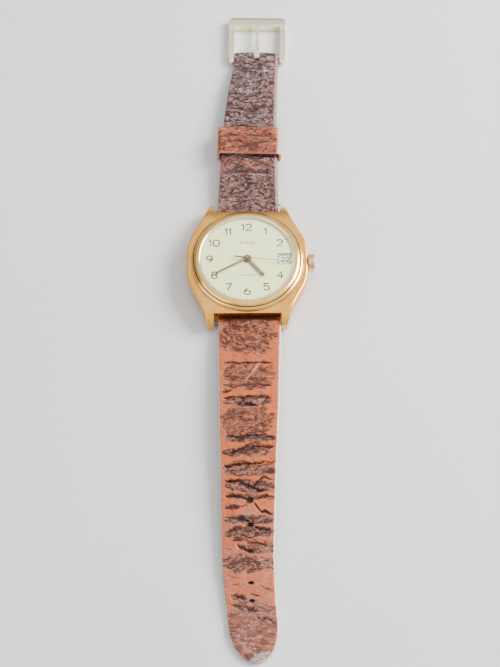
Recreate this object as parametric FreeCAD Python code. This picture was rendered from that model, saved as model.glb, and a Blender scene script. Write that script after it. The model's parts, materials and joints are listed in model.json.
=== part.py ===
"""Automatic wristwatch with a leather strap, both strap halves laid out straight.

Millimetres. +Z goes up through the dial, +Y points to 12 o'clock and the buckle, +X to the crown.
The origin is the centre of the case back's flat resting face.
"""
import FreeCAD
import Part

import math
import os

V = FreeCAD.Vector
AXIS_Z = V(0, 0, 1)

# ---- driving dimensions ----------------------------------------------------------------------
CASE_HALF_WIDTH = 17.25
LUG_TIP_Y = 19.2
LUG_GAP = 19.0
LUG_HALF_SPAN = 11.4
CASE_EDGE_Y = 16.3
CASE_BOTTOM = 2.0
CASE_TOP = 6.6
CAVITY_R = 13.7

BEZEL_R = 16.15
BEZEL_TOP = 8.2
OPENING_R = 13.3
DIAL_R = 13.6
DIAL_BOTTOM = 7.1
DIAL_TOP = 7.5
CRYSTAL_R = 13.15
CRYSTAL_TOP = 10.9
GLASS = 0.3

BACK_R = 15.2
BACK_FLAT_R = 11.5
BACK_FLOOR = 0.8

PLATE_R = 12.8
BRIDGE_R = 12.5
BRIDGE_BOTTOM = 2.6
BRIDGE_TOP = 3.4
PLATE_BOTTOM = 5.4
PLATE_TOP = 6.2
SHELF_TOP = 6.7
SHELF_R = 8.2
JEWEL_R = 0.45
JEWEL_THICK = 0.25
PIVOT_R = 0.09
STAFF_R = 0.15

STEM_Z = 4.9
STEM_R = 0.45
CROWN_R = 2.6
CROWN_X0 = 17.35
CROWN_X1 = 19.15
FLUTES = 36

BAR_Y = 17.8
BAR_Z = 2.6
BAR_R = 0.65
BAR_HALF = 9.2
TIP_R = 0.38

LOOP_R = 1.3
LINING = 0.75
HOLE_R = 0.85
TAIL_HOLES = [(0.35, 70.5), (0.3, 77.1), (0.25, 84.1), (0.35, 92.4), (0.6, 97.0)]

BUCKLE_X = 3.45
BUCKLE_Y = 74.6
BUCKLE_Z = 1.5
BUCKLE_LEAN = -1.2
PIN_R = 0.5
FOLD_R = 1.15
BUCKLE_HALF = 8.75
BUCKLE_INNER = 7.1
BUCKLE_FRONT = 14.9
BUCKLE_WINDOW = 10.9
NOTCH_HALF = 0.62

KEEPER_X = 0.95
KEEPER_Y = 41.0
KEEPER_LEAN = -1.7

# gear train: teeth and modules
CENTRE_TEETH, THIRD_PINION_TEETH, TRAIN_MODULE = 80, 10, 0.1
THIRD_TEETH, SECONDS_PINION_TEETH = 75, 10
FOURTH_TEETH, ESCAPE_PINION_TEETH = 80, 8
BARREL_TEETH, CENTRE_PINION_TEETH, BARREL_MODULE = 80, 10, 0.12
CANNON_TEETH, MINUTE_TEETH, MOTION_MODULE = 10, 30, 0.14
MINUTE_PINION_TEETH, HOUR_TEETH = 10, 40
RATCHET_TEETH, CROWN_WHEEL_TEETH = 50, 50
FACE_TEETH, WINDING_TEETH = 32, 12
ESCAPE_TEETH = 15
DATE_TEETH = 31

THIRD_ANGLE = 205.0
ESCAPE_ANGLE = -65.0
BARREL_ANGLE = 67.0
MINUTE_WHEEL_ANGLE = 40.0
BALANCE_AT = (-3.3, -8.0)
PALLET_AT = (-0.01, -5.86)
CROWN_WHEEL_AT = (7.7, 0.0)

# hand angles, clockwise from 12
HOUR_ANGLE = 140.1
MINUTE_ANGLE = 241.6
SECONDS_ANGLE = 96.4


# ---- shape helpers ---------------------------------------------------------------------------
def polar(radius, degrees, centre=(0.0, 0.0)):
    """A point at a radius and an angle about a centre."""
    angle = math.radians(degrees)
    return (centre[0] + radius * math.cos(angle), centre[1] + radius * math.sin(angle))


def distance(a, b):
    return math.hypot(a[0] - b[0], a[1] - b[1])


def direction(a, b):
    """The angle in degrees from a to b."""
    return math.degrees(math.atan2(b[1] - a[1], b[0] - a[0]))


def disc(radius, z0, z1, at=(0.0, 0.0)):
    return Part.makeCylinder(radius, z1 - z0, V(at[0], at[1], z0))


def ring(outer, inner, z0, z1, at=(0.0, 0.0)):
    return disc(outer, z0, z1, at).cut(disc(inner, z0 - 1, z1 + 1, at))


def rod_x(radius, x0, x1, y, z):
    """A round rod along X."""
    return Part.makeCylinder(radius, x1 - x0, V(x0, y, z), V(1, 0, 0))


def box(x0, x1, y0, y1, z0, z1):
    return Part.makeBox(x1 - x0, y1 - y0, z1 - z0, V(x0, y0, z0))


def prism(points, z0, z1):
    """A flat outline in plan, raised from z0 to z1."""
    corners = [V(x, y, z0) for x, y in points]
    face = Part.Face(Part.makePolygon(corners + corners[:1]))
    return face.extrude(V(0, 0, z1 - z0))


def side_prism(points, half_width):
    """A flat outline seen from the side, as (y, z), made half_width wide each way along X."""
    corners = [V(-half_width, y, z) for y, z in points]
    face = Part.Face(Part.makePolygon(corners + corners[:1]))
    return face.extrude(V(2 * half_width, 0, 0))


def lever(a, b, width, z0, z1):
    """A straight bar of even width from a to b."""
    turn = math.radians(direction(a, b) + 90)
    dx = width / 2 * math.cos(turn)
    dy = width / 2 * math.sin(turn)
    corners = [(a[0] + dx, a[1] + dy), (a[0] - dx, a[1] - dy)]
    corners += [(b[0] - dx, b[1] - dy), (b[0] + dx, b[1] + dy)]
    return prism(corners, z0, z1)


def turned(start, *steps):
    """A lathe profile of (radius, z) steps about Z. A step of four numbers is an arc: middle, end."""
    edges = []
    here = start
    for step in steps + (start,):
        end = step[-2:]
        if len(step) == 4:
            middle = V(step[0], 0, step[1])
            edges.append(Part.Arc(V(here[0], 0, here[1]), middle, V(end[0], 0, end[1])).toShape())
        elif here != end:
            edges.append(Part.LineSegment(V(here[0], 0, here[1]), V(end[0], 0, end[1])).toShape())
        here = end
    return Part.Face(Part.Wire(edges)).revolve(V(0, 0, 0), AXIS_Z, 360)


def dome(radius, z_edge, z_top):
    """The arc step that closes a lathe profile from its edge to a dome's top on the axis."""
    rise = z_top - z_edge
    sphere_r = (radius**2 + rise**2) / (2 * rise)
    middle_r = radius / 2
    return (middle_r, z_top - sphere_r + math.sqrt(sphere_r**2 - middle_r**2), 0, z_top)


def gear_outline(teeth, module, phase, at=(0.0, 0.0)):
    """Straight-sided teeth: one tooth is centred on the angle phase, in degrees."""
    pitch_r = module * teeth / 2
    pitch = 360 / teeth
    points = []
    for tooth in range(teeth):
        middle = phase + tooth * pitch
        for share, radius in (
            (-0.31, pitch_r - 1.15 * module),
            (-0.12, pitch_r + 0.9 * module),
            (0.12, pitch_r + 0.9 * module),
            (0.31, pitch_r - 1.15 * module),
        ):
            points.append(polar(radius, middle + share * pitch, at))
    return points


def wheel(teeth, module, z0, z1, phase, at=(0.0, 0.0), arms=5, hub=0.9):
    """A thin toothed wheel with straight-edged windows between its arms."""
    shape = prism(gear_outline(teeth, module, phase, at), z0, z1)
    rim = module * teeth / 2 - 4.5 * module
    for arm in range(arms):
        start = 360 / arms * arm + 14
        stop = 360 / arms * (arm + 1) - 14
        window = [polar(rim, start + (stop - start) * step / 4, at) for step in range(5)]
        window += [polar(hub, stop - 6, at), polar(hub, start + 6, at)]
        shape = shape.cut(prism(window, z0 - 1, z1 + 1))
    return shape


def pinion(teeth, module, z0, z1, phase, at=(0.0, 0.0)):
    return prism(gear_outline(teeth, module, phase, at), z0, z1)


def meshing_phase(angle, teeth):
    """The phase that puts a gap towards an angle, to take the other gear's tooth."""
    return angle + 180 / teeth


def spiral(r0, r1, turns, width, z0, z1, at=(0.0, 0.0), steps=20):
    """A flat coiled ribbon."""
    count = int(turns * steps)
    inner = []
    outer = []
    for step in range(count + 1):
        share = step / count
        radius = r0 + (r1 - r0) * share
        inner.append(polar(radius, 360 * turns * share, at))
        outer.append(polar(radius + width, 360 * turns * share, at))
    return prism(inner + outer[::-1], z0, z1)


def staff(at, z0, z1):
    """An arbor between two jewels, with a thin pivot at each end."""
    pivots = disc(PIVOT_R, BRIDGE_TOP - JEWEL_THICK, PLATE_BOTTOM + JEWEL_THICK, at)
    return disc(STAFF_R, z0, z1, at).fuse(pivots)


def edges_where(shape, test):
    return [edge for edge in shape.Edges if test(edge.BoundBox)]


def save(node, shape):
    """Write one sub-part as a STEP file, as one closed solid wherever it is in one piece."""
    if len(shape.Solids) == 1:
        shape = shape.Solids[0]
    shape.exportStep(os.path.join("parts", node + ".step"))
    print(f"{node:22s} solids {len(shape.Solids)} valid {shape.isValid()} volume {shape.Volume:.3f}")


# ---- case ------------------------------------------------------------------------------------
def case_outline():
    """The case in plan: flowing flanks into four lugs, a straight edge between each pair."""
    flank = [(LUG_HALF_SPAN, LUG_TIP_Y - 0.5), (11.75, 17.2), (12.6, 14.6), (14.15, 11.5)]
    flank += [(15.7, 8.6), (16.8, 5.8), (17.2, 2.9)]
    right = flank + [(CASE_HALF_WIDTH, 0.0)] + [(x, -y) for x, y in reversed(flank)]
    inner = LUG_GAP / 2
    edges = []
    for side in (1, -1):
        curve = Part.BSplineCurve()
        curve.interpolate([V(side * x, side * y, 0) for x, y in right])
        edges.append(curve.toShape())
        corners = [(LUG_HALF_SPAN, -LUG_TIP_Y + 0.5), (LUG_HALF_SPAN - 0.5, -LUG_TIP_Y)]
        corners += [(inner, -LUG_TIP_Y), (inner, -CASE_EDGE_Y)]
        corners += [(-inner, -CASE_EDGE_Y), (-inner, -LUG_TIP_Y)]
        corners += [(-LUG_HALF_SPAN + 0.5, -LUG_TIP_Y), (-LUG_HALF_SPAN, -LUG_TIP_Y + 0.5)]
        points = [V(side * x, side * y, 0) for x, y in corners]
        edges += [Part.LineSegment(a, b).toShape() for a, b in zip(points, points[1:])]
    return Part.Wire(Part.__sortEdges__(edges))


def case_side():
    """The case from the side: flat over the movement, lugs curving down to the wrist."""
    top = [(13.2, CASE_TOP), (15.4, 6.25), (17.4, 5.35), (LUG_TIP_Y + 0.1, 3.9)]
    edges = []
    for side in (1, -1):
        curve = Part.BSplineCurve()
        curve.interpolate([V(0, side * y, z) for y, z in top])
        edges.append(curve.toShape())
        corners = [(LUG_TIP_Y + 0.1, 3.9), (LUG_TIP_Y + 0.1, 1.5), (LUG_TIP_Y - 0.4, 1.0)]
        corners += [(17.8, 1.1), (15.4, CASE_BOTTOM)]
        points = [V(0, side * y, z) for y, z in corners]
        edges += [Part.LineSegment(a, b).toShape() for a, b in zip(points, points[1:])]
    for y, z in ((13.2, CASE_TOP), (15.4, CASE_BOTTOM)):
        edges.append(Part.LineSegment(V(0, y, z), V(0, -y, z)).toShape())
    face = Part.Face(Part.Wire(Part.__sortEdges__(edges)))
    face.translate(V(-20, 0, 0))
    return face.extrude(V(40, 0, 0))


def case_middle():
    plan = Part.Face(case_outline()).extrude(V(0, 0, 8))
    shape = plan.common(case_side())
    flank = [e for e in shape.Edges if e.BoundBox.YLength > 20 and e.BoundBox.XMin * e.BoundBox.XMax > 0]
    shape = shape.makeFillet(0.55, flank)
    shape = shape.cut(disc(CAVITY_R, 0, 8))
    shape = shape.cut(rod_x(1.1, 12, 20, 0, STEM_Z))
    for y in (BAR_Y, -BAR_Y):
        shape = shape.cut(rod_x(0.45, -LUG_GAP / 2 - 1.2, LUG_GAP / 2 + 1.2, y, BAR_Z))
    return shape


def bezel():
    """An outer slope, a fine groove, a convex ring and a narrow lip round the crystal."""
    return turned(
        (BEZEL_R, CASE_TOP),
        (BEZEL_R, 6.75),
        (15.85, 7.2, 15.35, 7.5),
        (15.22, 7.36),
        (15.1, 7.66),
        (14.6, 8.04, 13.85, BEZEL_TOP),
        (13.6, BEZEL_TOP),
        (OPENING_R, 8.0),
        (OPENING_R, 7.55),
        (CAVITY_R, 7.55),
        (CAVITY_R, CASE_TOP),
    )


def crystal():
    """A domed acrylic crystal: an upright wall that carries a shallow dome, hollowed underneath."""
    outside = turned(
        (0, 7.55),
        (CRYSTAL_R, 7.55),
        (CRYSTAL_R, 8.7),
        (12.98, 8.98, 12.6, 9.12),
        dome(12.6, 9.12, CRYSTAL_TOP),
    )
    hollow_r = CRYSTAL_R - GLASS
    hollow = turned((0, 7), (hollow_r, 7), (hollow_r, 8.7), dome(hollow_r, 8.7, CRYSTAL_TOP - 1.2))
    return outside.cut(hollow)


def case_back():
    shape = turned(
        (0, 0),
        (BACK_FLAT_R, 0),
        (13.4, 0.35, BACK_R - 0.3, 1.25),
        (BACK_R, 1.5),
        (BACK_R, CASE_BOTTOM),
        (CAVITY_R - 0.02, CASE_BOTTOM),
        (CAVITY_R - 0.02, CASE_BOTTOM + 0.6),
        (13.3, CASE_BOTTOM + 0.6),
        (13.3, 1.3),
        (12.8, BACK_FLOOR),
        (0, BACK_FLOOR),
    )
    shape = shape.cut(ring(14.6, 14.0, 1.7, CASE_BOTTOM))
    for notch in range(6):
        key = box(-0.9, 0.9, 13.6, 14.3, -0.1, 0.75)
        key.rotate(V(0, 0, 0), AXIS_Z, 60 * notch)
        shape = shape.cut(key)
    return shape


def movement_ring():
    shape = ring(CAVITY_R - 0.05, PLATE_R + 0.05, 3.4, SHELF_TOP)
    return shape.cut(rod_x(1.2, 10, 16, 0, STEM_Z))


def make_case():
    save("case_middle", case_middle())
    save("bezel", bezel())
    save("crystal", crystal())
    save("crystal_gasket", ring(OPENING_R, CRYSTAL_R, 7.55, 8.1))
    save("case_back", case_back())
    save("case_back_gasket", ring(14.6, 14.0, 1.7, CASE_BOTTOM))
    save("crown_tube", rod_x(1.1, 13.7, 17.3, 0, STEM_Z).cut(rod_x(0.52, 13, 18, 0, STEM_Z)))
    save("movement_ring", movement_ring())


# ---- dial and hands --------------------------------------------------------------------------
def dial():
    shape = disc(DIAL_R, DIAL_BOTTOM, DIAL_TOP).cut(disc(1.15, 7, 8))
    window = box(8.75, 12.35, -1.65, 1.65, 7, 8)
    return shape.cut(window)


def date_ring():
    """Flat ring with one inner notch for each day of the month."""
    z0 = SHELF_TOP + 0.05
    shape = disc(12.4, z0, z0 + 0.2)
    return shape.cut(prism(gear_outline(DATE_TEETH, 0.56, 180 / DATE_TEETH), z0 - 1, z0 + 1))


def hand(blade, z0, z1, hub_r, bore_r, angle):
    """A hand drawn towards 12 and turned clockwise to its angle."""
    shape = prism(blade, z0, z1).fuse(disc(hub_r, z0, z1))
    shape = shape.removeSplitter()
    bevel = edges_where(shape, lambda b: b.ZMin > z1 - 0.001 and b.DiagonalLength > 2.5)
    shape = shape.makeChamfer(0.05, bevel)
    shape = shape.cut(disc(bore_r, z0 - 1, z1 + 1))
    shape.rotate(V(0, 0, 0), AXIS_Z, -angle)
    return shape


def make_dial_side():
    save("dial", dial())
    save("date_ring", date_ring())
    hour = [(-0.45, 0), (-0.5, 6.7), (-0.3, 7.3), (0.3, 7.3), (0.5, 6.7), (0.45, 0)]
    save("hour_hand", hand(hour, 7.85, 8.02, 1.15, 0.98, HOUR_ANGLE))
    minute = [(-0.3, 0), (-0.24, 9.6), (-0.12, 10.1), (0.12, 10.1), (0.24, 9.6), (0.3, 0)]
    save("minute_hand", hand(minute, 8.1, 8.25, 0.95, 0.64, MINUTE_ANGLE))
    seconds = [(-0.24, -3.6), (-0.2, -1.2), (-0.1, 0.5), (-0.07, 12.6)]
    seconds += [(0.07, 12.6), (0.1, 0.5), (0.2, -1.2), (0.24, -3.6)]
    blade = prism(seconds, 8.45, 8.55).fuse(disc(0.55, 8.42, 8.62)).removeSplitter()
    blade = blade.cut(disc(0.16, 8, 9))
    blade.rotate(V(0, 0, 0), AXIS_Z, -SECONDS_ANGLE)
    save("seconds_hand", blade)


# ---- movement: places ------------------------------------------------------------------------
THIRD_AT = polar(TRAIN_MODULE * (CENTRE_TEETH + THIRD_PINION_TEETH) / 2, THIRD_ANGLE)
ESCAPE_AT = polar(TRAIN_MODULE * (FOURTH_TEETH + ESCAPE_PINION_TEETH) / 2, ESCAPE_ANGLE)
BARREL_AT = polar(BARREL_MODULE * (BARREL_TEETH + CENTRE_PINION_TEETH) / 2, BARREL_ANGLE)
MINUTE_WHEEL_AT = polar(MOTION_MODULE * (CANNON_TEETH + MINUTE_TEETH) / 2, MINUTE_WHEEL_ANGLE)
THIRD_MODULE = 2 * distance(THIRD_AT, (0, 0)) / (THIRD_TEETH + SECONDS_PINION_TEETH)
MOTION_MODULE_2 = 2 * distance(MINUTE_WHEEL_AT, (0, 0)) / (MINUTE_PINION_TEETH + HOUR_TEETH)
KEYLESS_MODULE = 2 * distance(BARREL_AT, CROWN_WHEEL_AT) / (RATCHET_TEETH + CROWN_WHEEL_TEETH)
JEWELLED = [THIRD_AT, ESCAPE_AT, BALANCE_AT, PALLET_AT]
COLLAR_R = 2.4
WINDING_X = CROWN_WHEEL_AT[0] + COLLAR_R

BARREL_SCREWS = [(-5.5, 9.5), (8.9, 7.5), (10.6, -4.2)]
TRAIN_SCREWS = [(-10.3, 0.0), (-9.8, -2.6), (5.6, -5.6)]
COCK_SCREW = (-9.4, -6.9)
PALLET_SCREW = (2.2, -9.0)
PILLAR_R = 0.7


def main_plate():
    shape = disc(PLATE_R, PLATE_BOTTOM, SHELF_TOP).cut(disc(SHELF_R, PLATE_TOP, 8))
    shape = shape.fuse(ring(PLATE_R, 12.5, SHELF_TOP, DIAL_BOTTOM))
    shape = shape.cut(disc(0.47, 5, 8)).cut(disc(0.56, 5, 8, BARREL_AT))
    for at in JEWELLED:
        shape = shape.cut(disc(JEWEL_R, 5, 8, at))
    shape = shape.fuse(disc(0.2, PLATE_TOP - 0.2, 6.95, MINUTE_WHEEL_AT))
    groove = box(WINDING_X - 2.2, 13, -1.1, 1.1, 5, 5.95)
    return shape.cut(groove).removeSplitter()


def bridge(outline, screws, holes):
    """A flat bridge with a pillar at each screw, standing on the main plate."""
    shape = prism(outline, BRIDGE_BOTTOM, BRIDGE_TOP).common(disc(BRIDGE_R, 2, 4))
    for at in screws:
        shape = shape.fuse(disc(PILLAR_R, BRIDGE_BOTTOM, PLATE_BOTTOM, at))
        shape = shape.cut(disc(0.3, 2, PLATE_BOTTOM, at))
    for radius, at in holes:
        shape = shape.cut(disc(radius, 2, 4, at))
    return shape.removeSplitter()


def cock(pivot, screw, width):
    """A bar from its screw to one jewel."""
    shape = lever(screw, pivot, width, BRIDGE_BOTTOM, BRIDGE_TOP)
    for at in (pivot, screw):
        shape = shape.fuse(disc(width / 2 + 0.05, BRIDGE_BOTTOM, BRIDGE_TOP, at))
    shape = shape.fuse(disc(PILLAR_R, BRIDGE_BOTTOM, PLATE_BOTTOM, screw))
    shape = shape.cut(disc(0.3, 2, PLATE_BOTTOM, screw)).cut(disc(JEWEL_R, 2, 4, pivot))
    return shape.removeSplitter()


def jewels():
    """A ring jewel at each end of each staff, and the seconds arbor's in the train bridge."""
    found = []
    for at in JEWELLED:
        hole = PIVOT_R + 0.03
        found.append(ring(JEWEL_R, hole, BRIDGE_TOP - JEWEL_THICK, BRIDGE_TOP, at))
        found.append(ring(JEWEL_R, hole, PLATE_BOTTOM, PLATE_BOTTOM + JEWEL_THICK, at))
    found.append(ring(JEWEL_R, 0.2, BRIDGE_TOP - JEWEL_THICK, BRIDGE_TOP))
    return Part.makeCompound(found)


def bridge_screws():
    found = []
    for at in BARREL_SCREWS + TRAIN_SCREWS + [COCK_SCREW, PALLET_SCREW]:
        head = disc(0.55, 2.35, BRIDGE_BOTTOM, at)
        slot = box(at[0] - 0.6, at[0] + 0.6, at[1] - 0.08, at[1] + 0.08, 2.3, 2.45)
        found.append(head.cut(slot).fuse(disc(0.29, BRIDGE_BOTTOM, 4.6, at)).removeSplitter())
    return Part.makeCompound(found)


def make_frame_of_movement():
    save("main_plate", main_plate())
    barrel_side = [(-12.4, 1.7), (4.2, 1.7), (4.2, -3.6), (7.4, -5.0), (12.4, -5.6)]
    barrel_side += [(12.4, 12.4), (-12.4, 12.4)]
    holes = [(0.56, BARREL_AT), (COLLAR_R + 0.15, CROWN_WHEEL_AT)]
    save("barrel_bridge", bridge(barrel_side, BARREL_SCREWS, holes))
    train_side = [(-12.4, 1.5), (4.0, 1.5), (4.0, -3.9), (6.6, -5.0), (6.6, -6.6), (4.6, -6.6)]
    train_side += [(3.2, -5.0), (0.9, -5.0), (0.2, -3.6), (-12.4, -3.6)]
    holes = [(JEWEL_R, THIRD_AT), (JEWEL_R, ESCAPE_AT), (JEWEL_R, (0, 0))]
    save("train_bridge", bridge(train_side, TRAIN_SCREWS, holes))
    save("balance_cock", cock(BALANCE_AT, COCK_SCREW, 2.4))
    save("pallet_bridge", cock(PALLET_AT, PALLET_SCREW, 1.4))
    save("jewels", jewels())
    save("bridge_screws", bridge_screws())
    bearing = disc(0.8, 1.3, BRIDGE_BOTTOM).fuse(disc(1.15, 1.1, 1.3)).removeSplitter()
    save("rotor_bearing", bearing)
    click = lever((-3.2, 5.6), (-1.75, 6.75), 0.5, 2.3, BRIDGE_BOTTOM)
    save("click", click.fuse(disc(0.6, 2.3, BRIDGE_BOTTOM, (-3.2, 5.6))).removeSplitter())


# ---- movement: going train -------------------------------------------------------------------
def make_going_train():
    origin = (0.0, 0.0)
    bore = disc(0.22, 3, 9)
    centre = wheel(CENTRE_TEETH, TRAIN_MODULE, 3.95, 4.1, THIRD_ANGLE)
    centre = centre.fuse(pinion(CENTRE_PINION_TEETH, BARREL_MODULE, 4.1, 4.65, BARREL_ANGLE))
    centre = centre.fuse(disc(0.42, 3.9, 7.0)).cut(bore)
    save("centre_wheel", centre.removeSplitter())

    cannon = pinion(CANNON_TEETH, MOTION_MODULE, 6.25, 6.5, MINUTE_WHEEL_ANGLE)
    cannon = cannon.fuse(disc(0.64, 6.5, 8.25)).cut(disc(0.42, 6, 7.0)).cut(disc(0.22, 6, 9))
    save("cannon_pinion", cannon.removeSplitter())

    back = direction(MINUTE_WHEEL_AT, origin)
    phase = meshing_phase(back, MINUTE_TEETH)
    minute = wheel(MINUTE_TEETH, MOTION_MODULE, 6.28, 6.46, phase, MINUTE_WHEEL_AT, 4, 0.7)
    teeth = pinion(MINUTE_PINION_TEETH, MOTION_MODULE_2, 6.46, 6.85, back, MINUTE_WHEEL_AT)
    save("minute_wheel", minute.fuse(teeth).cut(disc(0.26, 6, 8, MINUTE_WHEEL_AT)).removeSplitter())

    phase = meshing_phase(MINUTE_WHEEL_ANGLE, HOUR_TEETH)
    hour = wheel(HOUR_TEETH, MOTION_MODULE_2, 6.62, 6.8, phase, origin, 4, 1.2)
    hour = hour.fuse(disc(0.98, 6.62, 8.02)).cut(disc(0.7, 6, 9))
    save("hour_wheel", hour.removeSplitter())

    phase = meshing_phase(THIRD_ANGLE, SECONDS_PINION_TEETH)
    seconds = pinion(SECONDS_PINION_TEETH, THIRD_MODULE, 3.66, 3.88, phase)
    fourth = wheel(FOURTH_TEETH, TRAIN_MODULE, 3.45, 3.6, ESCAPE_ANGLE)
    arbor = disc(0.16, BRIDGE_TOP - JEWEL_THICK, 8.62).fuse(disc(0.3, 3.45, 3.7))
    save("seconds_wheel", arbor.fuse(fourth).fuse(seconds).removeSplitter())

    back = direction(THIRD_AT, origin)
    third = wheel(THIRD_TEETH, THIRD_MODULE, 3.7, 3.85, back, THIRD_AT)
    phase = meshing_phase(back, THIRD_PINION_TEETH)
    teeth = pinion(THIRD_PINION_TEETH, TRAIN_MODULE, 3.85, 4.2, phase, THIRD_AT)
    save("third_wheel", staff(THIRD_AT, 3.42, 5.38).fuse(third).fuse(teeth).removeSplitter())

    points = []
    for tooth in range(ESCAPE_TEETH):
        start = 360 / ESCAPE_TEETH * tooth
        points += [polar(1.85, start, ESCAPE_AT), polar(2.25, start + 14, ESCAPE_AT)]
        points += [polar(2.25, start + 17, ESCAPE_AT), polar(1.85, start + 16, ESCAPE_AT)]
    escape = prism(points, 4.3, 4.45)
    phase = meshing_phase(direction(ESCAPE_AT, origin), ESCAPE_PINION_TEETH)
    teeth = pinion(ESCAPE_PINION_TEETH, TRAIN_MODULE, 3.42, 3.65, phase, ESCAPE_AT)
    save("escape_wheel", staff(ESCAPE_AT, 3.42, 5.38).fuse(escape).fuse(teeth).removeSplitter())

    toward = direction(ESCAPE_AT, PALLET_AT)
    fork = disc(0.45, 4.25, 4.5, PALLET_AT)
    for side in (-30, 30):
        outer = polar(2.6, toward + side, ESCAPE_AT)
        inner = polar(2.12, toward + side, ESCAPE_AT)
        fork = fork.fuse(lever(PALLET_AT, outer, 0.35, 4.25, 4.5))
        fork = fork.fuse(lever(outer, inner, 0.18, 4.28, 4.48))
    heading = direction(PALLET_AT, BALANCE_AT)
    reach = distance(PALLET_AT, BALANCE_AT)
    fork = fork.fuse(lever(PALLET_AT, polar(reach - 0.75, heading, PALLET_AT), 0.3, 4.25, 4.5))
    head = lever(
        polar(reach - 0.95, heading, PALLET_AT), polar(reach - 0.4, heading, PALLET_AT), 0.7, 4.25, 4.5
    )
    slot = lever(
        polar(reach - 0.7, heading, PALLET_AT), polar(reach - 0.2, heading, PALLET_AT), 0.22, 4, 5
    )
    fork = fork.fuse(head).cut(slot)
    save("pallet_fork", fork.fuse(staff(PALLET_AT, 3.5, 5.3)).removeSplitter())


def make_balance():
    rim = ring(3.6, 3.15, 4.62, 4.95, BALANCE_AT)
    arm = lever(polar(3.4, 60, BALANCE_AT), polar(3.4, 240, BALANCE_AT), 0.5, 4.68, 4.88)
    save("balance_wheel", rim.fuse(arm).cut(disc(STAFF_R, 4, 6, BALANCE_AT)).removeSplitter())
    pin_at = polar(0.5, direction(BALANCE_AT, PALLET_AT), BALANCE_AT)
    roller = disc(0.62, 4.52, 4.6, BALANCE_AT).fuse(disc(0.09, 4.28, 4.52, pin_at))
    save("balance_staff", staff(BALANCE_AT, 3.42, 5.38).fuse(roller).removeSplitter())
    save("hairspring", spiral(0.35, 2.3, 6, 0.06, 3.95, 4.12, BALANCE_AT))


# ---- movement: winding -----------------------------------------------------------------------
def make_barrel():
    back = meshing_phase(direction(BARREL_AT, (0, 0)), BARREL_TEETH)
    drum = prism(gear_outline(BARREL_TEETH, BARREL_MODULE, back, BARREL_AT), 4.2, 4.4)
    drum = drum.fuse(ring(4.5, 4.25, 4.4, 5.1, BARREL_AT)).cut(disc(0.56, 4, 6, BARREL_AT))
    save("barrel_drum", drum.removeSplitter())
    save("barrel_cover", ring(4.5, 0.56, 5.1, 5.28, BARREL_AT))
    save("mainspring", spiral(1.5, 4.0, 5, 0.2, 4.45, 5.05, BARREL_AT))
    core = disc(0.5, 2.25, 6.1, BARREL_AT).fuse(disc(1.2, 4.48, 5.02, BARREL_AT))
    save("barrel_arbor", core.removeSplitter())
    toward = direction(BARREL_AT, CROWN_WHEEL_AT)
    ratchet = prism(gear_outline(RATCHET_TEETH, KEYLESS_MODULE, toward, BARREL_AT), 2.25, 2.5)
    save("ratchet_wheel", ratchet.cut(disc(0.5, 2, 3, BARREL_AT)))
    back = meshing_phase(toward + 180, CROWN_WHEEL_TEETH)
    outline = gear_outline(CROWN_WHEEL_TEETH, KEYLESS_MODULE, back, CROWN_WHEEL_AT)
    crown_wheel = prism(outline, 2.25, 2.5).fuse(ring(COLLAR_R, 2.0, 2.5, 3.98, CROWN_WHEEL_AT))
    for tooth in range(FACE_TEETH):
        start = polar(2.05, 360 / FACE_TEETH * (tooth + 0.5), CROWN_WHEEL_AT)
        end = polar(COLLAR_R - 0.05, 360 / FACE_TEETH * (tooth + 0.5), CROWN_WHEEL_AT)
        crown_wheel = crown_wheel.fuse(lever(start, end, 0.14, 3.9, 4.1))
    save("crown_wheel", crown_wheel.removeSplitter())


def pinion_on_stem(teeth, radius, x0, x1, bore):
    """A small toothed sleeve on the winding stem's axis, with a tooth pointing down."""
    outline = gear_outline(teeth, 2 * radius / teeth, 0)
    shape = prism(outline, x0, x1).cut(disc(bore, x0 - 1, x1 + 1))
    shape.rotate(V(0, 0, 0), V(0, 1, 0), 90)
    shape.translate(V(0, 0, STEM_Z))
    return shape


def make_stem_and_crown():
    save("winding_pinion", pinion_on_stem(WINDING_TEETH, 0.85, 9.72, 10.12, STEM_R + 0.05))
    save("sliding_clutch", pinion_on_stem(WINDING_TEETH, 0.72, 7.95, 8.45, STEM_R))
    save("stem", rod_x(STEM_R, 7.95, 18.2, 0, STEM_Z))
    valley = CROWN_R - 0.22
    ridge = ((-0.36, valley), (-0.2, CROWN_R), (0.2, CROWN_R), (0.36, valley))
    outline = []
    for flute in range(FLUTES):
        for share, radius in ridge:
            outline.append(polar(radius, (flute + share) * 360 / FLUTES))
    body = prism(outline, CROWN_X0, CROWN_X1)
    shell = turned(
        (0, CROWN_X0),
        (2.45, CROWN_X0),
        (CROWN_R, CROWN_X0 + 0.15),
        (CROWN_R, CROWN_X1 - 0.4),
        (2.5, CROWN_X1 - 0.12, 2.2, CROWN_X1 - 0.05),
        dome(2.2, CROWN_X1 - 0.05, CROWN_X1 + 0.05),
    )
    cap = turned(
        (0, CROWN_X1 - 0.3),
        (2.2, CROWN_X1 - 0.3),
        (2.2, CROWN_X1 - 0.05),
        dome(2.2, CROWN_X1 - 0.05, CROWN_X1 + 0.05),
    )
    body = body.common(shell).fuse(cap).cut(disc(STEM_R, 17, 18.2))
    body.rotate(V(0, 0, 0), V(0, 1, 0), 90)
    body.translate(V(0, 0, STEM_Z))
    save("crown", body.removeSplitter())


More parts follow.
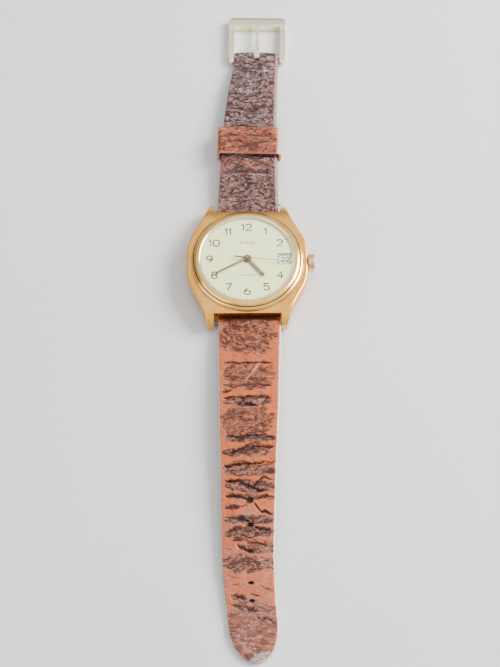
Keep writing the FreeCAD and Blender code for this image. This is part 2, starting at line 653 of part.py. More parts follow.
def make_rotor():
    plate = ring(10.6, 0.88, 1.75, 2.0).common(box(-13, 13, -13, 0.0, 1, 3))
    plate = plate.fuse(ring(2.4, 0.88, 1.45, 2.0)).removeSplitter()
    for angle in (210, 250, 290, 330):
        window = [polar(4.2, angle - 13), polar(9.2, angle - 15), polar(9.6, angle)]
        window += [polar(9.2, angle + 15), polar(4.2, angle + 13)]
        plate = plate.cut(prism(window, 1, 3))
    save("rotor", plate)
    weight = ring(12.5, 10.6, 1.15, 2.05).common(box(-13, 13, -13, 0.0, 1, 3))
    save("rotor_weight", weight)


# ---- spring bars -----------------------------------------------------------------------------
def make_spring_bars():
    for name, y in (("12", BAR_Y), ("6", -BAR_Y)):
        tube = rod_x(BAR_R, -BAR_HALF, BAR_HALF, y, BAR_Z)
        for side in (-1, 1):
            ends = sorted((side * 6.2, side * (BAR_HALF + 1)))
            tube = tube.cut(rod_x(TIP_R + 0.04, ends[0], ends[1], y, BAR_Z))
        save("lug_spring_bar_" + name, tube)
        for label, side in (("left", -1), ("right", 1)):
            ends = sorted((side * 7.4, side * 10.55))
            save(f"bar_tip_{name}_{label}", rod_x(TIP_R, ends[0], ends[1], y, BAR_Z))


# ---- strap -----------------------------------------------------------------------------------
def strap_outline(stations):
    """Plan outline of a strap half from (distance from the middle, centre x, half width)."""
    right = [(x + half, y) for y, x, half in stations]
    left = [(x - half, y) for y, x, half in stations]
    return right + left[::-1]


def strap_layers(stations, profile, sign, seam_end):
    """Outer leather and lining, from a plan outline and a side profile of (y, bottom, thickness)."""
    plan = prism([(x, sign * y) for x, y in strap_outline(stations)], 0, 9)
    bottom = [(sign * y, low) for y, low, thick in profile]
    top = [(sign * y, low + thick) for y, low, thick in profile]
    seam = [(sign * y, low + LINING) for y, low, thick in profile]
    floor = [(sign * y, -1) for y, low, thick in profile]
    body = plan.common(side_prism(top + bottom[::-1], 14))
    near, far = sorted((sign * (BAR_Y + 3.2), sign * seam_end))
    under = side_prism(seam + floor[::-1], 14).common(box(-14, 14, near, far, -2, 9))
    return body.cut(under), body.common(under)


def lug_loop(shape, centre_x, half, sign):
    """Close the strap end round its spring bar and bore it for the bar."""
    shape = shape.fuse(rod_x(LOOP_R, centre_x - half, centre_x + half, sign * BAR_Y, BAR_Z))
    return shape.cut(rod_x(BAR_R + 0.07, -12, 12, sign * BAR_Y, BAR_Z)).removeSplitter()


def at_buckle(shape):
    """Place a shape drawn about the buckle pin, with +Y towards the buckle's front."""
    shape.rotate(V(0, 0, 0), AXIS_Z, BUCKLE_LEAN)
    shape.translate(V(BUCKLE_X, BUCKLE_Y, BUCKLE_Z))
    return shape


def make_buckle_side_strap():
    stations = [(BAR_Y, 0.34, 8.9), (24, 0.52, 8.75), (36, 0.87, 8.42), (50, 1.28, 7.95)]
    stations += [(62, 2.2, 7.4), (70, 3.1, 6.85), (75.0, 3.45, 6.82)]
    profile = [(BAR_Y, 1.38, 2.44), (24, 1.5, 2.85), (30, 2.0, 2.75), (36, 2.35, 2.6)]
    profile += [(43, 2.5, 2.45), (50, 2.5, 2.35), (58, 2.35, 2.25), (66, 1.5, 2.2)]
    profile += [(71, 0.75, 2.2), (75.2, 0.4, 2.2)]
    outer, lining = strap_layers(stations, profile, 1, BUCKLE_Y - 3.0)
    outer = outer.cut(at_buckle(box(-12, 12, 0, 5, -3, 3)))
    outer = outer.fuse(at_buckle(rod_x(FOLD_R, -6.85, 6.85, 0, 0)))
    outer = outer.cut(at_buckle(box(-1.2, 1.2, -2.6, 3, -3, 3)))
    outer = outer.cut(at_buckle(rod_x(PIN_R + 0.06, -9, 9, 0, 0)))
    save("strap_buckle_outer", lug_loop(outer, 0.34, 8.9, 1))
    save("strap_buckle_lining", lining)


def make_tail_strap():
    stations = [(BAR_Y, 0.55, 8.85), (24, 0.5, 8.75), (30, 0.4, 8.6), (42, 0.26, 8.35), (52, 0.08, 8.0)]
    stations += [(62, -0.09, 7.6), (74, -0.25, 7.3), (86, -0.4, 7.0), (95, 0.1, 6.8), (103.5, 0.8, 6.6)]
    tip_start, tip_length = 103.5, 9.3
    for step in range(1, 10):
        angle = math.radians(10 * step)
        reach = tip_length * math.sin(angle)
        stations.append((tip_start + reach, 0.8 + 0.07 * reach, 6.6 * math.cos(angle)))
    profile = [(BAR_Y, 1.38, 2.44), (24, 1.5, 2.8), (30, 2.0, 2.6), (42, 2.6, 2.4), (52, 2.7, 2.2)]
    profile += [(62, 2.5, 2.05), (74, 1.9, 1.9), (86, 1.0, 1.85), (95, 0.4, 1.8), (102, 0.0, 1.75)]
    profile += [(112.8, 0.0, 1.5)]
    layers = strap_layers(stations, profile, -1, 120)
    bored = []
    for layer in layers:
        for x, y in TAIL_HOLES:
            layer = layer.cut(disc(HOLE_R, -1, 9, (x, -y)))
        bored.append(layer)
    save("strap_tail_outer", lug_loop(bored[0], 0.55, 8.85, -1))
    save("strap_tail_lining", bored[1])


def make_keeper():
    """A leather loop that slides along the buckle-side strap."""
    outer = box(-9.5, 9.5, -4.65, 4.65, 1.2, 6.4)
    outer = outer.makeFillet(1.5, edges_where(outer, lambda b: b.YLength > 9))
    inner = box(-8.7, 8.7, -6, 6, 2.05, 5.45)
    inner = inner.makeFillet(0.6, edges_where(inner, lambda b: b.YLength > 11))
    shape = outer.cut(inner)
    shape.rotate(V(0, 0, 0), AXIS_Z, KEEPER_LEAN)
    shape.translate(V(KEEPER_X, KEEPER_Y, 0))
    save("keeper", shape)


# ---- buckle ----------------------------------------------------------------------------------
def buckle_frame():
    """Two arms that taper past the pin and a wide, slightly bowed front bar with rounded corners."""
    tip_y, corner_r = -2.9, 1.9
    half, shoulder = BUCKLE_HALF, BUCKLE_FRONT - 0.2
    corners = [(-half, shoulder - corner_r), (-half, -0.2), (-half + 0.7, tip_y), (-BUCKLE_INNER, -2.2)]
    corners += [(-BUCKLE_INNER, BUCKLE_WINDOW), (BUCKLE_INNER, BUCKLE_WINDOW)]
    corners += [(BUCKLE_INNER, -2.2), (half - 0.7, tip_y), (half, -0.2), (half, shoulder - corner_r)]
    points = [V(x, y, -3) for x, y in corners]
    edges = [Part.LineSegment(a, b).toShape() for a, b in zip(points, points[1:])]
    right = V(half - corner_r, shoulder, -3)
    left = V(-half + corner_r, shoulder, -3)
    bend = corner_r * (1 - math.sqrt(0.5))
    edges.append(Part.Arc(points[-1], V(half - bend, shoulder - bend, -3), right).toShape())
    edges.append(Part.Arc(right, V(0, BUCKLE_FRONT, -3), left).toShape())
    edges.append(Part.Arc(left, V(-half + bend, shoulder - bend, -3), points[0]).toShape())
    plan = Part.Face(Part.Wire(edges)).extrude(V(0, 0, 6))
    side = [(-3.1, -0.35), (-1.5, -0.8), (4.0, -0.95), (10.0, -1.3), (12.6, -BUCKLE_Z)]
    side += [(14.3, -1.4), (15.0, -0.8), (15.0, -0.1), (14.5, 0.45), (13.6, 0.75), (12.0, 0.85)]
    side += [(10.9, 0.75), (10.3, 0.6), (4.0, 0.75), (-1.5, 0.7), (-3.1, 0.3)]
    shape = plan.common(side_prism(side, 12))
    notch = box(-NOTCH_HALF, NOTCH_HALF, 10, BUCKLE_FRONT - 1.6, 0.45, 3)
    seam = box(-NOTCH_HALF, -NOTCH_HALF + 0.2, 12, BUCKLE_FRONT - 0.9, 0.5, 3)
    return shape.cut(notch).cut(seam).cut(rod_x(PIN_R, -7.9, 7.9, 0, 0))


def buckle_tongue():
    """A sleeve on the pin with a flat blade, waisted in the middle, its tip lying in the notch."""
    sleeve = rod_x(1.0, -0.75, 0.75, 0, 0)
    side = [(0.0, -0.3), (0.0, 0.95), (1.5, 1.05), (11.0, 1.15), (12.3, 1.1), (12.75, 0.85)]
    side += [(12.85, 0.6), (12.4, 0.5), (10.6, 0.5), (2.0, 0.25)]
    half_plan = [(0.75, -1.0), (0.75, 2.2), (0.42, 5.5), (0.36, 8.0), (0.5, 11.0)]
    half_plan += [(0.5, 12.4), (0.3, 12.9)]
    plan = half_plan + [(-x, y) for x, y in reversed(half_plan)]
    blade = side_prism(side, 0.75).common(prism(plan, -2, 3))
    return sleeve.fuse(blade).cut(rod_x(PIN_R + 0.06, -2, 2, 0, 0)).removeSplitter()


def make_buckle():
    save("buckle_frame", at_buckle(buckle_frame()))
    save("buckle_bar", at_buckle(rod_x(PIN_R, -7.8, 7.8, 0, 0)))
    save("buckle_tongue", at_buckle(buckle_tongue()))


def main():
    os.makedirs("parts", exist_ok=True)
    make_case()
    make_dial_side()
    make_frame_of_movement()
    make_going_train()
    make_balance()
    make_barrel()
    make_stem_and_crown()
    make_rotor()
    make_spring_bars()
    make_buckle_side_strap()
    make_tail_strap()
    make_keeper()
    make_buckle()


main()
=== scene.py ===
import json
import math

import bmesh
import bpy
import numpy as np
from mathutils import Matrix, Vector
from mathutils.bvhtree import BVHTree


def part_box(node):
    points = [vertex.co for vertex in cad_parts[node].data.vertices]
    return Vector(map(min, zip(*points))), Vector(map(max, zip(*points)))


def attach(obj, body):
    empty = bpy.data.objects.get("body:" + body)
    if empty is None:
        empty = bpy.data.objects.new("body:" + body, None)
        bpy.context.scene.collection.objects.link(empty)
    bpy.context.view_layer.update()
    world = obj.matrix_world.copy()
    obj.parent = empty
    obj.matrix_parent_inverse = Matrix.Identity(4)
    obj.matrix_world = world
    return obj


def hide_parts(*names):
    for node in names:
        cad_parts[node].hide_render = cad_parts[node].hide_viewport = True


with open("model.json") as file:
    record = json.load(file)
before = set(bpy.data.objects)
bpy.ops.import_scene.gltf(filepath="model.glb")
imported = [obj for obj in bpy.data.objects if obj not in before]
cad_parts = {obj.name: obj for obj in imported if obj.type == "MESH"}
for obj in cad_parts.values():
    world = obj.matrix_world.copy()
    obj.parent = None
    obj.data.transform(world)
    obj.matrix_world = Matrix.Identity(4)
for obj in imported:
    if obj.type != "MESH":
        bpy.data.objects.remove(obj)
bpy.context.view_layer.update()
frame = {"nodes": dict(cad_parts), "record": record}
nodes = frame["nodes"]

MM = 0.001
BUCKLE_LEAN = math.radians(-1.2)
KEEPER_LEAN = math.radians(-1.7)

# Lengths from here on are in millimetres. On a strap x goes across and d is the distance from the dial's
# middle, towards the buckle or the tail's tip.
START_Z = 2.6  # a height inside both strap halves at the lugs
LEAN_END = 73.0  # past this row a ray from the side would meet the tongue's slot
BAR_HOLE_RADIUS, PIN_HOLE_RADIUS = 0.72, 0.56
SLOT_HALF_WIDTH = 0.86
CUT = 14  # how far cutters reach to each side


# ---- camera, floor and light ----
def put(name, data, place, target):
    """Adds an object to the scene, facing a point."""
    thing = bpy.data.objects.new(name, data)
    thing.location = place
    thing.rotation_euler = (target - place).to_track_quat("-Z", "Y").to_euler()
    bpy.context.scene.collection.objects.link(thing)
    return thing


def make_camera():
    """A long lens, looking down from the 6 o'clock side."""
    elevation, azimuth, distance = math.radians(64.04), math.radians(0.45), 404.2 * MM
    target = Vector((0.63, -19.8, 0)) * MM
    level = math.cos(elevation)
    away = Vector((-math.sin(azimuth) * level, -math.cos(azimuth) * level, math.sin(elevation)))
    data = bpy.data.cameras.new("camera")
    data.sensor_width = 36
    data.lens = 77.56
    data.clip_start = 0.01
    bpy.context.scene.camera = put("camera", data, target + away * distance, target)


def area_light(name, place, size, power, colour):
    """A square light aimed at the dial: place and size in metres, power in watts."""
    data = bpy.data.lights.new(name, "AREA")
    data.shape = "RECTANGLE"
    data.size = data.size_y = size
    data.energy = power
    data.color = colour
    put(name, data, Vector(place), Vector())


def fill_ramp(ramp, stops):
    """Sets a colour ramp's stops, each a position with a grey level or a colour."""
    elements = ramp.color_ramp.elements
    while len(elements) < len(stops):
        elements.new(0.5)
    for element, (position, colour) in zip(elements, stops):
        element.position = position
        element.color = (*colour, 1) if isinstance(colour, tuple) else (colour, colour, colour, 1)


def make_world():
    """Surroundings that grow brighter upwards, a little towards the crown's side."""
    world = bpy.data.worlds.new("studio")
    bpy.context.scene.world = world
    world.use_nodes = True
    tree = world.node_tree
    coords = tree.nodes.new("ShaderNodeTexCoord")
    towards = tree.nodes.new("ShaderNodeVectorMath")
    towards.operation = "DOT_PRODUCT"
    towards.inputs[1].default_value = (0.3, 0, 0.954)
    ramp = tree.nodes.new("ShaderNodeValToRGB")
    dim = (0.0, (0.30, 0.30, 0.32)), (0.35, (0.44, 0.45, 0.46))
    bright = (0.8, (1.00, 1.00, 0.99)), (1.0, (1.34, 1.32, 1.28))
    fill_ramp(ramp, dim + bright)
    tree.links.new(coords.outputs["Generated"], towards.inputs[0])
    tree.links.new(towards.outputs["Value"], ramp.inputs[0])
    tree.links.new(ramp.outputs[0], tree.nodes["Background"].inputs["Color"])
    tree.nodes["Background"].inputs["Strength"].default_value = 1.28


def make_stage():
    area_light("key", (0.48, 0.16, 0.38), 0.36, 10.5, (1.0, 0.985, 0.96))
    area_light("fill", (-0.45, -0.25, 0.35), 0.5, 1.3, (0.93, 0.96, 1.0))
    make_world()
    far = 3.0
    corners = [(-far, -far, 0), (far, -far, 0), (far, far, 0), (-far, far, 0)]
    mesh = bpy.data.meshes.new("floor")
    mesh.from_pydata(corners, [], [(0, 1, 2, 3)])
    floor = bpy.data.objects.new("floor", mesh)
    bpy.context.scene.collection.objects.link(floor)
    look = Look("floor_paper", roughness=0.85)
    look.colour(look.ramp(look.noise(9, 4), (0.3, (0.66, 0.66, 0.66)), (0.7, (0.70, 0.70, 0.695))))
    floor.data.materials.append(look.material)


# ---- materials ----
class Look:
    """A procedural material: a Principled shader and calls that add the nodes in front of it."""

    def __init__(self, name, **sockets):
        self.material = bpy.data.materials.new(name)
        self.material.use_nodes = True
        self.tree = self.material.node_tree
        self.shader = self.tree.nodes["Principled BSDF"]
        for key, value in sockets.items():
            self.shader.inputs[key.replace("_", " ").title().replace("Ior", "IOR")].default_value = value
        self.place = self.tree.nodes.new("ShaderNodeTexCoord").outputs["Object"]

    def node(self, kind, *inputs, **settings):
        """Adds a shader node with these first inputs and properties."""
        made = self.tree.nodes.new(kind)
        for key, value in settings.items():
            setattr(made, key, value)
        for at, value in enumerate(inputs):
            self.feed(made.inputs[at], value)
        return made

    def feed(self, socket, value):
        """Links another node's output to the socket, or sets a plain number or colour."""
        if isinstance(value, bpy.types.NodeSocket):
            self.tree.links.new(value, socket)
        elif value is not None:
            if isinstance(value, tuple) and len(value) == 3 and socket.type == "RGBA":
                value = (*value, 1)
            socket.default_value = value

    def spread(self, per_metre, stretch=(1, 1, 1), turn=0.0):
        """Coordinates scaled so that one unit is 1 / per_metre, each axis multiplied by stretch."""
        mapping = self.node("ShaderNodeMapping", self.place)
        mapping.inputs["Scale"].default_value = [per_metre * s for s in stretch]
        mapping.inputs["Rotation"].default_value = (0, 0, math.radians(turn))
        return mapping.outputs[0]

    def noise(self, per_metre, detail=3.0, stretch=(1, 1, 1), turn=0.0, distortion=0.0):
        made = self.node("ShaderNodeTexNoise", self.spread(per_metre, stretch, turn))
        settings = {"Scale": 1.0, "Detail": detail, "Roughness": 0.55, "Distortion": distortion}
        for key, value in settings.items():
            made.inputs[key].default_value = value
        return made.outputs["Fac"]

    def cells(self, per_metre):
        made = self.node("ShaderNodeTexVoronoi", self.spread(per_metre), feature="DISTANCE_TO_EDGE")
        made.inputs["Scale"].default_value = 1.0
        return made.outputs["Distance"]

    def attribute(self, name):
        return self.node("ShaderNodeAttribute", attribute_name=name).outputs["Fac"]

    def ramp(self, value, *stops):
        made = self.node("ShaderNodeValToRGB", value)
        fill_ramp(made, stops)
        return made.outputs[0]

    def maths(self, operation, a, b=None, clamp=False):
        return self.node("ShaderNodeMath", a, b, operation=operation, use_clamp=clamp).outputs[0]

    def times(self, first, *others):
        """The product of two or more values."""
        for other in others:
            first = self.maths("MULTIPLY", first, other)
        return first

    def mix(self, share, a, b):
        """Colour a, with this share of colour b over it."""
        made = self.node("ShaderNodeMix", data_type="RGBA")
        self.feed(made.inputs["Factor"], share)
        self.feed(made.inputs[6], a)
        self.feed(made.inputs[7], b)
        return made.outputs[2]

    def colour(self, value):
        self.feed(self.shader.inputs["Base Color"], value)

    def rough(self, value, low, high):
        """Roughness from low to high, as the value goes from 0 to 1."""
        self.feed(self.shader.inputs["Roughness"], self.ramp(value, (0.25, low), (0.75, high)))

    def bump(self, height, distance):
        """Adds relief of the given depth in metres, on top of any added before."""
        strength = 1.0
        made = self.node("ShaderNodeBump", strength, distance)
        self.feed(made.inputs["Height"], height)
        below = self.shader.inputs["Normal"]
        if below.is_linked:
            self.tree.links.new(below.links[0].from_socket, made.inputs["Normal"])
        self.tree.links.new(made.outputs[0], below)


def metal(name, low, high, roughness, brush=(1, 1, 1), wear=0.08, relief=0.004):
    """Metal with a mottled colour, hairlines along one axis (or even scuffs) and rubbed patches."""
    look = Look(name, metallic=1.0, roughness=roughness)
    look.colour(look.ramp(look.noise(260, 4), (0.35, low), (0.65, high)))
    grain = look.noise(5200, 3, stretch=brush)
    patches = look.noise(420, 4)
    look.rough(look.mix(0.5, grain, patches), max(0.03, roughness - wear), roughness + wear)
    look.bump(grain, relief * MM)
    return look.material


def plain(name, low, high, roughness, scale=900, relief=0.01):
    """A non-metal with a fine uneven surface."""
    look = Look(name, roughness=roughness)
    look.colour(look.ramp(look.noise(scale, 5), (0.3, low), (0.7, high)))
    look.rough(look.noise(scale * 2.3, 3), max(0.02, roughness - 0.07), roughness + 0.07)
    look.bump(look.noise(scale * 5, 2), relief * MM)
    return look.material


def bezel_gold():
    """Polished gold with painted shade in its joint and groove, and a paler band painted as a highlight on the
    inner rim round the crystal.
    """
    look = Look("bezel_gold", metallic=1.0, roughness=0.16)
    flat = look.node("ShaderNodeVectorMath", look.place, (1, 1, 0), operation="MULTIPLY").outputs[0]
    radius = look.node("ShaderNodeVectorMath", flat, operation="LENGTH").outputs["Value"]
    inner, outer = 13, 17
    share = look.times(look.maths("SUBTRACT", radius, inner * MM), 1 / ((outer - inner) * MM))
    warm = look.ramp(look.noise(260, 4), (0.35, (0.98, 0.53, 0.13)), (0.65, (1.0, 0.62, 0.20)))
    # Painted highlight: a pale band on the inner rim round the crystal.
    lip_highlight = look.ramp(share, (0.16, 1.0), (0.24, 0.0))
    colour = look.mix(look.times(lip_highlight, 0.85), warm, (0.98, 0.80, 0.50))
    # Painted shade: near-black rings in the groove and at the joint with the case, mottled a little.
    groove, joint = ((0.52, 0.0), (0.54, 1.0), (0.58, 1.0), (0.60, 0.0)), ((0.765, 0.0), (0.785, 1.0))
    patchy = look.ramp(look.noise(700, 3), (0.3, 0.75), (0.6, 0.95))
    painted_shade = look.times(look.ramp(share, *groove, *joint), patchy)
    look.colour(look.mix(painted_shade, colour, (0.035, 0.016, 0.006)))
    look.rough(look.mix(0.5, look.noise(5200, 3), look.noise(420, 4)), 0.11, 0.24)
    look.bump(look.noise(5200, 3), 0.002 * MM)
    return look.material


def clear(name):
    """Acrylic: see-through, with a gloss that grows towards grazing angles and faint rubbing scratches."""
    look = Look(name, roughness=0.04)
    look.tree.nodes.remove(look.shader)
    through = look.node("ShaderNodeBsdfTransparent", (0.985, 0.985, 0.97))
    gloss = look.node("ShaderNodeBsdfGlossy")
    gloss.inputs["Color"].default_value = (1, 0.97, 0.95, 1)
    gloss.inputs["Roughness"].default_value = 0.05
    facing = look.node("ShaderNodeLayerWeight", 0.5).outputs["Facing"]
    steep = look.maths("POWER", facing, 5.0)
    edge = look.node("ShaderNodeMath", steep, 0.8, 0.028, operation="MULTIPLY_ADD").outputs[0]
    outside = look.maths("SUBTRACT", 1.0, look.node("ShaderNodeNewGeometry").outputs["Backfacing"])
    scratches = look.ramp(look.noise(900, 6, stretch=(1, 7, 1), turn=35), (0.62, 0.0), (0.66, 0.035))
    share = look.times(look.maths("ADD", edge, scratches, clamp=True), outside)
    both = look.node("ShaderNodeMixShader", share, through.outputs[0], gloss.outputs[0])
    look.feed(look.tree.nodes["Material Output"].inputs["Surface"], both.outputs[0])
    return look.material


def leather(name, base, light, dark, wear_and_sheen, edge_and_highlight_colour, grain=1.0, fine=1.0):
    """Creased leather. The mesh's own attributes say where it is cracked or holds painted shade (between the
    lugs and in the holes), where it is grey from wear with a painted sheen on its ridges, and where it is cut
    at the edge, with a painted highlight along the lit right side; pale highlight specks are painted in the
    wrinkled zones.
    """
    look = Look(name, roughness=0.5, specular_ior_level=0.35)

    def marks(per_metre, detail, stretch, distortion, *stops):
        """A pattern of marks, longer across the strap than along it."""
        noise = look.noise(per_metre * fine, detail, stretch=(*stretch, 1), distortion=distortion)
        return look.ramp(noise, *stops)

    deep = tuple(0.8 * d + 0.2 * b for d, b in zip(dark, base))
    scar = tuple(min(1.0, 1.5 * c + 0.06) for c in light)
    zone, grey, edge = look.attribute("zone"), look.attribute("wear_and_sheen"), look.attribute("edge")
    worms = marks(430, 4, (0.7, 1.3), 1.6, (0.45, 0.0), (0.5, 1.0), (0.55, 0.0))
    thin = marks(1150, 3, (0.6, 1.4), 1.8, (0.44, 0.0), (0.5, 1.0), (0.56, 0.0))
    streaks = marks(720, 4, (0.4, 1.5), 0.9, (0.45, 1.0), (0.5, 0.0))
    # Painted highlights: pale specks beside the wrinkle lines, where ridges would catch the light.
    highlight_flecks = marks(900, 3, (0.5, 1.4), 1.0, (0.53, 0.0), (0.60, 1.0))
    lines = look.maths("MAXIMUM", worms, look.times(thin, 0.75))
    pores = look.noise(1900, 4, stretch=(0.7, 1.5, 1), distortion=0.8)
    broken = look.ramp(look.noise(1500, 3, stretch=(0.6, 1.4, 1)), (0.3, 0.5), (0.48, 1.0))
    # Grey from wear, carrying the painted sheen on the wrinkles' ridges.
    rubbed = look.times(grey, look.ramp(look.noise(480, 4), (0.35, 0.35), (0.62, 1.0)))
    ragged = look.times(edge, look.ramp(look.noise(1300, 3), (0.3, 0.7), (0.6, 1.0)))

    colour = look.ramp(look.noise(150, 4), (0.3, base), (0.7, light))
    for share, over in (
        (look.ramp(pores, (0.36, 0.45), (0.6, 0.0)), dark),
        (rubbed, wear_and_sheen),
        (look.times(zone, highlight_flecks, 0.6), wear_and_sheen),
        (look.times(zone, lines, 0.92), deep),
        (look.times(grey, streaks, 0.78), dark),
        (look.times(look.attribute("crack"), broken), dark),
        (look.attribute("scratch"), scar),
        (ragged, edge_and_highlight_colour),
    ):
        colour = look.mix(share, colour, over)
    look.colour(colour)
    look.rough(look.mix(0.5, look.noise(700, 4), zone), 0.38, 0.62)
    look.bump(look.times(lines, zone), -0.14 * grain * MM)
    look.bump(look.times(streaks, grey), -0.10 * grain * MM)
    look.bump(look.cells(2600), 0.03 * grain * MM)
    return look.material


# ---- mesh helpers ----
class Solid:
    """Collects closed pieces in millimetres and makes one object of them."""

    def __init__(self):
        self.points, self.faces = [], []

    def ribbon(self, line, width, low, high, closed=False):
        """A flat band along a line of (x, y), as ink has, with square ends."""
        line = np.array(line, float)
        steps = np.roll(line, -1, 0) - line
        if not closed:
            steps[-1] = steps[-2]
        steps /= np.linalg.norm(steps, axis=1)[:, None]
        before = np.roll(steps, 1, 0)
        if not closed:
            before[0] = steps[0]
        along = before + steps
        along /= np.maximum(np.linalg.norm(along, axis=1), 0.4)[:, None]
        across = np.c_[-along[:, 1], along[:, 0]]
        turn = np.maximum((across * np.c_[-steps[:, 1], steps[:, 0]]).sum(1), 0.5)
        offset = across * (width / 2 / turn)[:, None]
        rings = []
        for (ax, ay), (bx, by) in zip(line + offset, line - offset):
            rings.append([(ax, ay, low), (bx, by, low), (bx, by, high), (ax, ay, high)])
        self.loft(rings, closed)

    def loft(self, rings, closed_path=False):
        """Joins rings of equal length, capping the ends unless the path is closed."""
        count, size = len(rings), len(rings[0])
        first = len(self.points)
        self.points += np.array(rings).reshape(-1, 3).tolist()
        for i in range(count if closed_path else count - 1):
            a, b = first + i * size, first + (i + 1) % count * size
            self.faces += [(a + j, a + (j + 1) % size, b + (j + 1) % size, b + j) for j in range(size)]
        if not closed_path:
            self.faces.append(tuple(reversed(range(first, first + size))))
            self.faces.append(tuple(range(first + (count - 1) * size, first + count * size)))

    def build(self, name, smooth=False):
        """Makes the object, with its faces turned outwards."""
        mesh = bpy.data.meshes.new(name)
        mesh.from_pydata([tuple(c * MM for c in p) for p in self.points], [], self.faces)
        mesh.validate()
        work = bmesh.new()
        work.from_mesh(mesh)
        bmesh.ops.recalc_face_normals(work, faces=work.faces)
        if work.calc_volume(signed=True) < 0:
            bmesh.ops.reverse_faces(work, faces=work.faces)
        work.to_mesh(mesh)
        work.free()
        for face in mesh.polygons:
            face.use_smooth = smooth
        made = bpy.data.objects.new(name, mesh)
        bpy.context.scene.collection.objects.link(made)
        return made


def tube(radius, start, end, sides=40):
    """A closed cylinder between two points, in millimetres."""
    start, end = Vector(start), Vector(end)
    turn = (end - start).to_track_quat("Z", "Y")
    circle = []
    for k in range(sides):
        angle = 2 * math.pi * k / sides
        circle.append(turn @ Vector((radius * math.cos(angle), radius * math.sin(angle), 0)))
    solid = Solid()
    solid.loft([[tuple(centre + point) for point in circle] for centre in (start, end)])
    return solid.build("cutter")


def cut(piece, cutters):
    """Takes the cutters out of the piece and removes them."""
    for cutter in cutters:
        modifier = piece.modifiers.new("cut", "BOOLEAN")
        modifier.operation = "DIFFERENCE"
        modifier.solver = "MANIFOLD"
        modifier.object = cutter
    graph = bpy.context.evaluated_depsgraph_get()
    mesh = bpy.data.meshes.new_from_object(piece.evaluated_get(graph))
    piece.modifiers.clear()
    piece.data = mesh
    mesh.materials.clear()
    for cutter in cutters:
        bpy.data.objects.remove(cutter)


# ---- leather relief ----
def soft(value):
    """A smooth step from 0 to 1."""
    value = np.clip(value, 0, 1)
    return value * value * (3 - 2 * value)


def scatter(ix, iy, seed):
    """A fixed number from 0 to 1 for each grid point."""
    value = np.sin(ix * 127.1 + iy * 311.7 + seed * 74.7) * 43758.5453
    return value - np.floor(value)


def cloud(x, y, seed, octaves=3):
    """Smooth noise from 0 to 1, one lump per unit."""
    total, size = 0.0, 0.0
    for octave in range(octaves):
        scale = 2**octave
        px, py = x * scale + 17.3 * octave, y * scale - 9.1 * octave
        ix, iy = np.floor(px), np.floor(py)
        fx, fy = soft(px - ix), soft(py - iy)
        a, b, c, d = (scatter(ix + i, iy + j, seed + octave) for j in (0, 1) for i in (0, 1))
        near, far = a * (1 - fx) + b * fx, c * (1 - fx) + d * fx
        total = total + (near * (1 - fy) + far * fy) / scale
        size += 1 / scale
    return total / size


def veins(x, y, seed, width=0.05, octaves=2):
    """A net of thin winding lines, 1 on a line."""
    return np.clip(1 - np.abs(cloud(x, y, seed, octaves) - 0.5) / width, 0, 1)


